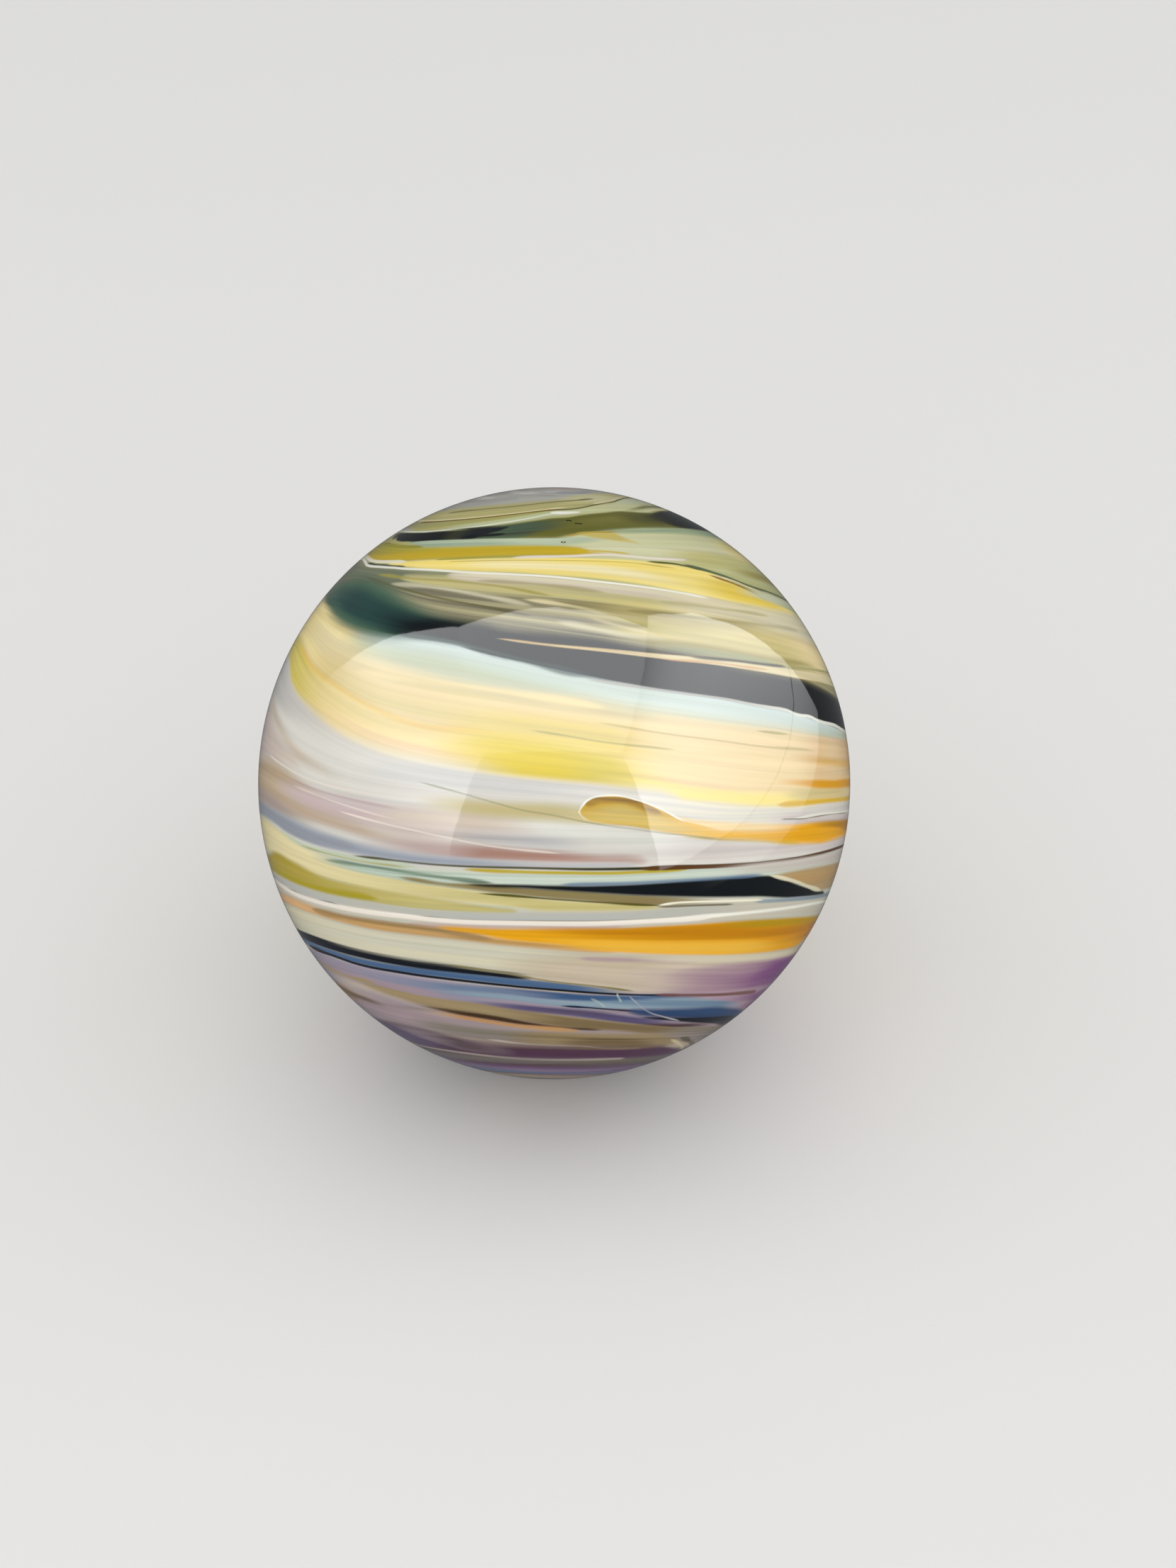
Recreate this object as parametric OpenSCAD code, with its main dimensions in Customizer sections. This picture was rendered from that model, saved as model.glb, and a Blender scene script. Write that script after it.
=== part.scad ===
// Solid glass marble.
// One ball of fused coloured glass, rounded in the flame, with no flat, bore or seam.
// The origin is the ball's centre, with +Z up as it sits in a ring stand.

/* [Ball] */
// Diameter of the ball
ball_d = 25; // [12:1:60]

/* [Smoothness] */
// Number of sides that the round shapes are drawn with
sides = 128; // [48:8:256]

/* [Hidden] */
ball_r = ball_d / 2;

// Half of the ball's section, from pole to pole: a true arc, closed along the axis
module half_section() {
    intersection() {
        circle(r = ball_r, $fn = sides);
        translate([0, -ball_r])
            square([ball_r, ball_d]);
    }
}

// The ball, turned from its half section about the vertical axis
module marble() {
    color("khaki")
        rotate_extrude($fn = sides)
            half_section();
}

marble();
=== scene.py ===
import math

import bpy
import numpy as np
from mathutils import Matrix, Vector, noise


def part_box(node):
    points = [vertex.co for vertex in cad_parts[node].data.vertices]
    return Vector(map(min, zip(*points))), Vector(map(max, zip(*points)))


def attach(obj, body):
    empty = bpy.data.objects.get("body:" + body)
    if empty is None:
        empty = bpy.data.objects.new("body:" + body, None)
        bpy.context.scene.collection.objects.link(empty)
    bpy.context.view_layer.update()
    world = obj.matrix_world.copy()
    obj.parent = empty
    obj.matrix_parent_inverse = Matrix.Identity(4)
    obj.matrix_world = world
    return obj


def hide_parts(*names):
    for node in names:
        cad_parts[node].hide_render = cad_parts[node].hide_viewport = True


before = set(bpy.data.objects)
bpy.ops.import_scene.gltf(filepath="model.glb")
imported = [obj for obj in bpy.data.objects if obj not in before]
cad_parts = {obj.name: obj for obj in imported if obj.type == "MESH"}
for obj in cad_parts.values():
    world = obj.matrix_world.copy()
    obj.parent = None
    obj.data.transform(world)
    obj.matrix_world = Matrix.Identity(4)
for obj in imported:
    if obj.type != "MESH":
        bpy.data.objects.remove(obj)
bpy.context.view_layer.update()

bl_info = {
    "name": "Swirl glass marble",
    "version": (1, 0, 0),
    "blender": (4, 5, 0),
    "location": "3D View > Sidebar > Marble",
    "description": "Makes a solid glass marble with streaks of coloured glass wound round it, and its stage",
    "category": "Add Mesh",
}

BALL_LOW, BALL_HIGH = (Vector(corner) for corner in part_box("marble"))
BALL_CENTRE = (BALL_LOW + BALL_HIGH) / 2
BALL_RADIUS = (BALL_HIGH.z - BALL_LOW.z) / 2
MM = 0.001


# ---------------------------------------------------------------- what a user would change

def number(name, words, default, **more):
    """A number property, with its limits, and a subtype and a unit where they fit."""
    return bpy.props.FloatProperty(name=name, description=words, default=default, **more)


def length(name, words, default, **limits):
    """A length property, in metres."""
    return number(name, words, default, subtype="DISTANCE", unit="LENGTH", **limits)


def angle(name, words, degrees):
    """An angle property, from degrees."""
    return number(name, words, math.radians(degrees), subtype="ANGLE", unit="ROTATION")


def shine(side, default):
    """How brightly the polish reflects one panel of the light box."""
    return number(f"Shine of the {side} panel", "Watts a square metre that the polish reflects", default,
                  min=0)


def tint(name, words, red, green, blue):
    """A colour property, from the 0 to 255 values that a colour picker shows."""
    def linear(level):
        level /= 255
        return level / 12.92 if level <= 0.04045 else ((level + 0.055) / 1.055) ** 2.4
    return bpy.props.FloatVectorProperty(
        name=name, description=words, default=(linear(red), linear(green), linear(blue)), subtype="COLOR",
        size=3, min=0, max=1)


def glass(name, red, green, blue):
    """The colour of one of the glasses."""
    return tint(name, f"Colour of the {name.lower()} glass in the streaks", red, green, blue)


class MARBLE_PG_ball(bpy.types.PropertyGroup):
    """The ball's own form."""
    rows: bpy.props.IntProperty(
        name="Rows a side", description="Rows of faces on each of the ball's six sides",
        default=128, min=16, max=128)
    uneven: length("Out of round", "How far the ball dips below a true sphere", 0.012 * MM, min=0,
                   max=0.2 * MM)
    ripple: length("Flame ripple", "Height of the soft ripple that the flame leaves along the streaks",
                   0.003 * MM, min=0, max=0.05 * MM)
    lean: angle("Lean of the swirl", "How far the axis that the glass was turned about leans back", 40)


class MARBLE_PG_finish(bpy.types.PropertyGroup):
    """How the surface shines, and how fine the streaks are."""
    roughness: number("Roughness", "Roughness of the fire-polished surface", 0.04, min=0, max=1,
                      subtype="FACTOR")
    ior: number("Index", "Index of refraction of the glass", 1.55, min=1, max=2.5)
    melt: number("Melt", "How far the edges of broad streaks melt into their neighbours", 1.4, min=0,
                 max=4)
    grain: number("Fibre contrast", "How strongly fine fibres lighten and darken the glass", 0.2, min=0,
                  max=1, subtype="FACTOR")
    wander: number("Wander", "How far streaks wander from their line, in degrees", 0.35, min=0, max=3)


class MARBLE_PG_glass(bpy.types.PropertyGroup):
    """The coloured glasses that the streaks are drawn from."""
    cap_grey: glass("Cap grey", 202, 200, 184)
    cap_pale: glass("Cap pale", 220, 216, 202)
    cap_lilac: glass("Cap lilac", 168, 166, 160)
    olive_pale: glass("Pale olive", 172, 168, 114)
    olive_dark: glass("Dark olive", 90, 86, 34)
    olive_green: glass("Olive green", 92, 94, 34)
    green_black: glass("Green black", 20, 24, 16)
    black: glass("Black", 14, 18, 18)
    slate: glass("Slate", 54, 56, 52)
    brown_black: glass("Brown black", 46, 33, 18)
    aqua: glass("Aqua", 138, 164, 142)
    aqua_pale: glass("Pale aqua", 194, 204, 172)
    sage: glass("Sage", 194, 196, 136)
    sage_pale: glass("Pale sage", 220, 218, 178)
    khaki: glass("Khaki", 202, 190, 124)
    khaki_olive: glass("Olive khaki", 162, 152, 80)
    olive_yellow: glass("Olive yellow", 214, 196, 84)
    ochre: glass("Ochre", 206, 174, 42)
    ochre_olive: glass("Olive ochre", 172, 162, 56)
    pale_yellow: glass("Pale yellow", 255, 236, 156)
    yellow: glass("Yellow", 250, 220, 96)
    deep_yellow: glass("Deep yellow", 226, 200, 14)
    white_thread: glass("White thread", 246, 244, 228)
    cream_thread: glass("Cream thread", 230, 216, 170)
    amber_dark: glass("Dark amber", 140, 102, 36)
    beige_green: glass("Greenish beige", 194, 186, 142)
    beige_pale: glass("Pale beige", 222, 214, 182)
    tan_olive: glass("Olive tan", 150, 138, 88)
    brown_grey: glass("Brown grey", 126, 120, 98)
    teal: glass("Teal", 42, 76, 72)
    teal_green: glass("Teal green", 84, 114, 88)
    blue_black: glass("Blue black", 16, 21, 26)
    blue_fringe: glass("Blue fringe", 206, 220, 218)
    cream: glass("Cream", 248, 226, 168)
    peach: glass("Peach", 238, 208, 160)
    peach_tan: glass("Tan peach", 228, 182, 128)
    white: glass("White", 228, 225, 214)
    white_grey: glass("White grey", 216, 210, 200)
    beige: glass("Beige", 212, 196, 176)
    taupe: glass("Taupe", 190, 166, 130)
    lilac: glass("Lilac", 206, 190, 188)
    mauve_pink: glass("Mauve pink", 192, 168, 164)
    grey_blue: glass("Grey blue", 158, 164, 174)
    grey_green: glass("Grey green", 116, 130, 102)
    amber: glass("Amber", 202, 160, 26)
    steel: glass("Steel", 148, 152, 160)
    brown_red: glass("Brown red", 168, 124, 104)
    sienna: glass("Sienna", 124, 78, 38)
    cream_low: glass("Low cream", 236, 222, 172)
    olive_low: glass("Low olive", 174, 152, 18)
    aqua_white: glass("Aqua white", 204, 214, 198)
    grey_pale: glass("Pale grey", 202, 200, 182)
    pink_white: glass("Pink white", 240, 226, 212)
    tan_line: glass("Tan", 190, 150, 92)
    orange: glass("Orange", 240, 172, 24)
    orange_deep: glass("Deep orange", 196, 128, 6)
    gold: glass("Gold", 246, 194, 76)
    taupe_low: glass("Low taupe", 192, 178, 150)
    purple: glass("Purple", 138, 90, 134)
    purple_deep: glass("Deep purple", 118, 56, 124)
    mauve: glass("Mauve", 176, 150, 154)
    red_brown: glass("Red brown", 140, 98, 92)
    blue_steel: glass("Steel blue", 98, 122, 148)
    blue: glass("Blue", 50, 82, 124)
    navy: glass("Navy", 14, 26, 54)
    blue_lilac: glass("Lilac blue", 150, 146, 164)
    aqua_blue: glass("Aqua blue", 106, 134, 160)
    violet: glass("Violet", 104, 92, 130)
    tan_low: glass("Low tan", 170, 150, 112)
    olive_brown: glass("Olive brown", 130, 110, 76)
    dark_brown: glass("Dark brown", 70, 46, 20)
    orange_tan: glass("Orange tan", 206, 150, 90)
    grey_lilac: glass("Grey lilac", 160, 146, 152)
    # plum glass, painted darker with the shade that a stand cast on the ball's foot
    plum: glass("Plum", 70, 46, 52)


class MARBLE_PG_stage(bpy.types.PropertyGroup):
    """The floor, the light and the camera."""
    floor_colour: tint("Floor colour", "Colour of the plain floor", 235, 233, 229)
    floor_size: length("Floor size", "Width of the floor", 6)
    box_half: length("Box half width", "From the ball to each side panel of the light box", 0.3)
    box_height: length("Box height", "From the ball up to the top panel", 0.5)
    box_front: length("Box front", "From the ball forward to the front panel", 0.39)
    box_back: length("Box back", "From the ball back to where the left and top panels end", 0.17)
    box_far_back: length("Box far back", "From the ball back to where the right panel ends", 0.238)
    box_seam: length("Box seam", "Gap where two panels meet", 0.004)
    panel_power: number("Panel power", "Watts a square metre of soft panel", 1.7, min=0)
    shine_left: shine("left", 11.4)
    shine_right: shine("right", 14.4)
    shine_top: shine("top", 12.0)
    shine_front: shine("front", 8.8)
    shine_drop: length("Shine drop", "How far the reflection on the right reaches below the ball's middle",
                       0.09)
    sky_strength: number("Fill", "Strength of the soft grey fill from all round", 0.6, min=0)
    sky_in_polish: number("Fill in the polish", "Strength of the fill where the polish reflects it", 0.12,
                          min=0)
    camera_height: angle("Camera height", "Angle that the camera looks down by", 40)
    camera_distance: length("Camera distance", "From the lens to the ball's centre", 120.3 * MM)
    camera_aside: length("Camera aside", "How far the camera stands to the right of the ball", 1.42 * MM)
    camera_down: length("Camera down", "How far the camera stands below the line to the ball", 0.03 * MM)
    lens: number("Lens", "Focal length on a frame 36 mm high", 65.1, subtype="DISTANCE_CAMERA")


# ---------------------------------------------------------------- small node helpers

def put(tree, kind, inputs=None, **settings):
    """Adds a node, sets its properties, then links its inputs or gives them values."""
    node = tree.nodes.new(kind)
    for name, value in settings.items():
        setattr(node, name, value)
    for name, value in (inputs or {}).items():
        if isinstance(value, bpy.types.NodeSocket):
            tree.links.new(value, node.inputs[name])
        else:
            node.inputs[name].default_value = value
    return node


def calc(tree, operation, *values):
    """Adds a Math node and returns its result."""
    return put(tree, "ShaderNodeMath", dict(enumerate(values)), operation=operation).outputs[0]


def vector_calc(tree, operation, inputs):
    """Adds a Vector Math node and returns its result."""
    return put(tree, "ShaderNodeVectorMath", inputs, operation=operation).outputs[0]


def clamped(tree, value):
    """Adds a Clamp node of its own, so that the long chain of streaks keeps its order."""
    return put(tree, "ShaderNodeClamp", {0: value}).outputs[0]


def smooth_step(tree, value, start, end):
    """Adds a Map Range node that goes smoothly from 0 at start to 1 at end."""
    return put(tree, "ShaderNodeMapRange", {"Value": value, "From Min": start, "From Max": end},
               interpolation_type="SMOOTHSTEP", clamp=False).outputs[0]


def blend(tree, factor, under, over):
    """Adds a colour Mix node and returns its colour."""
    return put(tree, "ShaderNodeMix", {0: factor, 6: under, 7: over}, data_type="RGBA").outputs[2]


FLOAT, COLOUR, VECTOR = "NodeSocketFloat", "NodeSocketColor", "NodeSocketVector"


def new_group(name, inputs, outputs):
    """Makes an empty shader node group with named sockets. Returns it with its input and output nodes."""
    group = bpy.data.node_groups.new(name, "ShaderNodeTree")
    for way, sockets in (("INPUT", inputs), ("OUTPUT", outputs)):
        for label, kind in sockets:
            group.interface.new_socket(name=label, in_out=way, socket_type=kind)
    return group, group.nodes.new("NodeGroupInput").outputs, group.nodes.new("NodeGroupOutput").inputs


def swirl_place_group():
    """Node group: where a point lies on the swirl. Bearing and height in degrees about the leaning axis."""
    group, given, out = new_group(
        "swirl_place",
        (("Point", VECTOR), ("Lean", FLOAT)),
        (("Bearing", FLOAT), ("Height", FLOAT), ("Round", VECTOR)))
    upright = put(group, "ShaderNodeVectorRotate", {"Vector": given["Point"], "Angle": given["Lean"]},
                  rotation_type="X_AXIS").outputs[0]
    unit = vector_calc(group, "NORMALIZE", {0: upright})
    part = put(group, "ShaderNodeSeparateXYZ", {0: unit}).outputs
    front = calc(group, "MULTIPLY", part[1], -1.0)
    turn = calc(group, "ARCTAN2", part[0], front)
    rise = calc(group, "ARCSINE", part[2])
    group.links.new(calc(group, "DEGREES", turn), out["Bearing"])
    group.links.new(calc(group, "DEGREES", rise), out["Height"])
    across = put(group, "ShaderNodeCombineXYZ", {0: part[0], 1: part[1]}).outputs[0]
    group.links.new(vector_calc(group, "NORMALIZE", {0: across}), out["Round"])
    return group


FIBRE_TURN = 60.0          # fibres of this length, in degrees, are as long as the noise is wide
FIBRE_NOISE_SCALE = 0.5
FIBRE_NOISE_ROUGHNESS = 0.55


def fibre_group():
    """Node group: a pattern of long fibres that follow the flow of the glass. Mask from 0 to 1."""
    group, given, out = new_group(
        "glass_fibres",
        (("Round", VECTOR), ("Flow", FLOAT), ("Length", FLOAT), ("Width", FLOAT), ("Detail", FLOAT),
         ("Contrast", FLOAT)),
        (("Mask", FLOAT),))
    along = calc(group, "DIVIDE", FIBRE_TURN, given["Length"])
    around = vector_calc(group, "SCALE", {0: given["Round"], "Scale": along})
    side = calc(group, "DIVIDE", given["Flow"], given["Width"])
    lift = put(group, "ShaderNodeCombineXYZ", {2: side}).outputs[0]
    grain = put(group, "ShaderNodeTexNoise", {
        "Vector": vector_calc(group, "ADD", {0: around, 1: lift}), "Scale": FIBRE_NOISE_SCALE,
        "Detail": given["Detail"], "Roughness": FIBRE_NOISE_ROUGHNESS}).outputs[0]
    away = calc(group, "SUBTRACT", grain, 0.5)
    group.links.new(clamped(group, calc(group, "MULTIPLY_ADD", away, given["Contrast"], 0.5)), out["Mask"])
    return group


def streak_group():
    """Node group: lays one streak of glass over what is under it. Edges, softness and fray are in degrees."""
    group, given, out = new_group(
        "glass_streak",
        (("Under", COLOUR), ("Height", FLOAT), ("Upper edge", FLOAT), ("Lower edge", FLOAT),
         ("Upper softness", FLOAT), ("Lower softness", FLOAT), ("Fray", FLOAT), ("Fibres", FLOAT),
         ("Glass", COLOUR), ("Second glass", COLOUR), ("Share", FLOAT), ("Change", FLOAT),
         ("Strength", FLOAT), ("Vary", FLOAT)),
        (("Colour", COLOUR),))
    loose = calc(group, "SUBTRACT", given["Fibres"], 0.5)
    height = calc(group, "MULTIPLY_ADD", loose, given["Fray"], given["Height"])
    inside = []
    for edge, softness, order in (("Upper edge", "Upper softness", ("ADD", "SUBTRACT")),
                                  ("Lower edge", "Lower softness", ("SUBTRACT", "ADD"))):
        outer, inner = (calc(group, way, given[edge], given[softness]) for way in order)
        inside.append(smooth_step(group, height, outer, inner))
    covered = calc(group, "MULTIPLY", *inside)
    strength = clamped(group, calc(group, "MULTIPLY_ADD", loose, given["Vary"], given["Strength"]))
    shown = calc(group, "MULTIPLY", covered, strength)
    mixed = clamped(group, calc(group, "MULTIPLY_ADD", given["Fibres"], given["Share"], given["Change"]))
    first = blend(group, shown, given["Under"], given["Glass"])
    both = blend(group, calc(group, "MULTIPLY", shown, mixed), first, given["Second glass"])
    group.links.new(both, out["Colour"])
    return group


# ---------------------------------------------------------------- laying the streaks

SEAM_MARGIN = 1.0          # points this near to the back, in degrees, give way to the joint there


def wound(points, ring):
    """Turns points that may run on round the back into ones from -180 to 180 degrees, joined at the back."""
    if not ring and points[0][0] >= -180 and points[-1][0] <= 180:
        return list(points)
    turned = sorted(((p[0] + 180) % 360 - 180, *p[1:]) for p in points)
    first, last = turned[0], turned[-1]
    share = (180 - last[0]) / (first[0] + 360 - last[0])
    behind = tuple(a + (b - a) * share for a, b in zip(last[1:], first[1:]))
    inner = [p for p in turned if abs(p[0]) < 180 - SEAM_MARGIN]
    return [(-180, *behind), *inner, (180, *behind)]


def pair(value):
    """One value for both edges or ends, or a value for each."""
    return value if isinstance(value, tuple) else (value, value)


WIDE_END = 1.0             # ends wider than this, in degrees, fade away and aren't drawn to a point
WIDE_REACH = 9.0           # how far a wide end fades, at most
WIDE_SHARE = 0.3           # and over which share of the streak
WIDE_HALF = 0.35           # half its width there, as a share of the end's
SLIM_REACH = 4.0           # how far a slim end runs out, at most
SLIM_SHARE = 0.6           # and as a share of the way to the point beside it
SLIM_CROSS = 1.1           # how far its edges cross at the tip, as a share of their softness
SLIM_CROSS_MORE = 0.05     # and how much more


class Swirl:
    """Lays streaks of coloured glass over one another, from the ground up, as nodes of one material.

    Cycles works nodes out in the order that they are made in, and holds few results at a time. So each
    streak's curves are made just before the streak, and the bearing already depends on a fibre pattern."""

    def __init__(self, tree, colours, bearing, height, patterns, melt):
        self.tree = tree
        self.melt = melt
        self.colours = colours
        self.bearing = bearing
        self.height = height
        self.patterns = patterns
        self.group = streak_group()
        self.colour = None

    def paint(self, name):
        """The colour of a glass, with full cover."""
        return (*getattr(self.colours, name), 1.0)

    def curve(self, points):
        """A Float Curve over the bearing, through points given in degrees."""
        node = put(self.tree, "ShaderNodeFloatCurve", {"Value": self.bearing})
        node.mapping.use_clip = False
        node.mapping.extend = "HORIZONTAL"
        curve = node.mapping.curves[0]
        curve.points[0].location = points[0]
        curve.points[1].location = points[-1]
        for point in points[1:-1]:
            curve.points.new(*point)
        for point in curve.points:
            point.handle_type = "AUTO_CLAMPED"
        node.mapping.update()
        return node.outputs[0]

    def lay(self, upper, lower, glass, second, soft, share, fray=0.0, grain="fine", change=None,
            strength=1.0, vary=0.0, fade=None):
        """Adds one streak between two edges. soft is for the upper and the lower one. change is where the
        first glass goes over into the second: from one bearing to another, or as a list of points."""
        inputs = {"Under": self.colour, "Height": self.height, "Upper softness": soft[0],
                  "Lower softness": soft[1], "Fray": fray, "Fibres": self.patterns[grain],
                  "Glass": self.paint(glass), "Second glass": self.paint(second or glass),
                  "Share": share if second else 0.0, "Strength": strength, "Vary": vary}
        for name, edge in (("Upper edge", upper), ("Lower edge", lower)):
            inputs[name] = self.curve(edge) if isinstance(edge, list) else edge
        if isinstance(change, list):
            inputs["Change"] = self.curve(change)
        elif change:
            inputs["Change"] = smooth_step(self.tree, self.bearing, *change)
        if fade:
            inputs["Strength"] = self.curve([(bearing, strength * level) for bearing, level in fade])
        self.colour = put(self.tree, "ShaderNodeGroup", inputs, node_tree=self.group).outputs[0]

    def melted(self, soft):
        """How far each of a broad streak's two edges blends, in degrees."""
        return tuple(self.melt * edge for edge in pair(soft))

    def ground(self, glass, second, *edge, soft=0.6, share=0.9, grain="medium", **how):
        """Covers everything below an edge that runs right round. Its points are (bearing, height)."""
        self.lay(wound(edge, ring=True), -100.0, glass, second, self.melted(soft), share, grain=grain, **how)

    def band(self, glass, second, *edges, soft=0.5, share=1.0, **how):
        """A streak with two edges. Its points are (bearing, upper edge, lower edge)."""
        self.shape(edges, glass, second, self.melted(soft), share, **how)

    def brushed(self, glass, second, *edges, soft=1.0, share=0.8, **how):
        """A band that longer and broader fibres run through."""
        self.band(glass, second, *edges, soft=soft, share=share, grain="medium", **how)

    def thread(self, width, glass, second, *path, soft=0.2, share=1.0, strength=0.95, **how):
        """A thin streak. Its points are (bearing, height). width is half its width, or that of each end."""
        start, end = pair(width)
        first, last = path[0][0], path[-1][0]
        edges = []
        for bearing, height in path:
            half = start + (end - start) * (bearing - first) / (last - first)
            edges.append((bearing, height + half, height - half))
        self.shape(edges, glass, second, (soft, soft), share, grain="medium", vary=0.5, strength=strength,
                   **how)

    def shape(self, edges, glass, second, soft, share, ring=False, **how):
        """Lays a band or a thread, with its ends drawn out unless it is a ring."""
        fade = None
        if not ring:
            edges, fade = self.drawn_out(edges, soft)
            fade = fade and wound(fade, ring=False)
        edges = wound(edges, ring)
        self.lay([(b, top) for b, top, low in edges], [(b, low) for b, top, low in edges], glass, second,
                 soft, share, fade=fade, **how)

    @staticmethod
    def drawn_out(edges, soft):
        """Ends a streak: a slim end runs out to a point, and a wide one fades away over some degrees."""
        crossed = SLIM_CROSS * max(soft) + SLIM_CROSS_MORE
        span = edges[-1][0] - edges[0][0]
        wide = [top - low > WIDE_END for bearing, top, low in (edges[0], edges[-1])]
        if edges[0][0] < -180 or edges[-1][0] > 180:
            wide = [any(wide)] * 2
        ends, fade = [], []
        for (bearing, top, low), beside, fades in ((edges[0], edges[1], wide[0]),
                                                   (edges[-1], edges[-2], wide[1])):
            way = -1 if bearing < beside[0] else 1
            slope = (top + low - beside[1] - beside[2]) / 2 / (bearing - beside[0])
            reach = (min(WIDE_REACH, WIDE_SHARE * span) if fades
                     else min(SLIM_REACH, SLIM_SHARE * abs(bearing - beside[0])))
            middle = (top + low) / 2 + slope * way * reach
            half = WIDE_HALF * (top - low) if fades else -crossed
            ends.append((bearing + way * reach, middle + half, middle - half))
            fade += [(bearing + way * reach, 0.0 if fades else 1.0), (bearing - way * reach, 1.0)]
        return [ends[0], *edges, ends[1]], [fade[0], fade[1], fade[3], fade[2]] if any(wide) else None


def lay_grounds(ground):
    """The broad fields that the streaks lie in, from the top down. The lowest, plum field is painted darker
    with shade at the foot.
    """
    ground("olive_pale", "khaki", (-75, 65), (-45, 64.6), (-20, 65.4), (0, 67), (20, 69.4), (40, 73),
        (60, 75.4), (80, 76), (130, 73), (180, 68), (240, 65.4), soft=1.0)
    ground("sage", "olive_pale", (-75, 57), (-60, 55.5), (-30, 55), (0, 58), (30, 61.5), (60, 64.5),
        (80, 66), (130, 64), (180, 61), (240, 59), soft=1.2, share=0.8, grain="broad")
    ground("beige_green", "tan_olive", (-75, 48.5), (-60, 45.8), (-45, 44), (-30, 42.6), (0, 40.4),
        (30, 37.2), (50, 34), (80, 33), (120, 33), (160, 36), (200, 40), (240, 45), soft=0.5)
    ground("cream", "peach", (-75, 36.5), (-60, 33.3), (-50, 30.5), (-40, 28), (-30, 27), (-15, 24),
        (0, 20.5), (15, 17.5), (30, 15.5), (50, 13.5), (80, 10), (120, 10), (160, 14), (200, 21), (240, 29),
        share=0.45, grain="broad")
    ground("white_grey", "white", (-75, 25.5), (-65, 19.5), (-55, 14.8), (-45, 10.8), (-35, 6.5), (-25, 4),
        (-10, 1.5), (5, 0), (20, -1.5), (35, -3.8), (50, -4), (65, -3.3), (80, -2.8), (120, -2), (160, 2),
        (200, 9), (240, 18), soft=1.0, share=1.0, grain="broad")
    ground("aqua_white", "beige", (-75, -6), (-60, -9.8), (-45, -12.8), (-30, -14.6), (0, -15.6), (30, -15),
        (60, -13.4), (80, -12), (120, -10.5), (160, -8.5), (200, -7), (240, -6), soft=0.5, share=0.6,
        grain="broad")
    ground("grey_pale", "beige", (-75, -17), (-60, -19.5), (-40, -22), (-20, -23.4), (0, -23), (30, -21.5),
        (60, -21.5), (80, -21), (120, -19.5), (160, -18), (200, -17), (240, -16.5), soft=0.4, share=0.5)
    ground("taupe_low", "grey_pale", (-75, -23.5), (-60, -25), (-40, -27.8), (-20, -29.4), (0, -31),
        (20, -32.2), (50, -33.2), (80, -31), (120, -29), (160, -27), (200, -25), (240, -24),
        change=[(-180, 0), (-145, 1), (-50, 1), (20, 0), (180, 0)])
    ground("mauve", "blue_lilac", (-75, -33.5), (-50, -36), (-30, -38), (-10, -40), (10, -41), (25, -40),
        (40, -36), (50, -35.4), (80, -35), (120, -35), (160, -34.5), (200, -34), (240, -33.5), soft=0.9,
        share=0.7, change=[(-180, 0), (-145, 1), (-60, 1), (0, 0), (180, 0)])
    ground("tan_low", "grey_lilac", (-75, -42), (-50, -41), (-30, -43), (-10, -45.5), (10, -48.3),
        (30, -51), (50, -52.5), (80, -54), (120, -52), (160, -49), (200, -45), (240, -42.5), share=1.0)
    # the field at the foot: plum glass whose darkness is partly painted shade
    ground("plum", "purple_deep", (-75, -51.5), (-50, -52), (-30, -56.5), (0, -57.5), (30, -58.5),
        (60, -59), (80, -60), (120, -60), (160, -57), (200, -53), (240, -51), soft=1.4, share=0.25)


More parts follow.
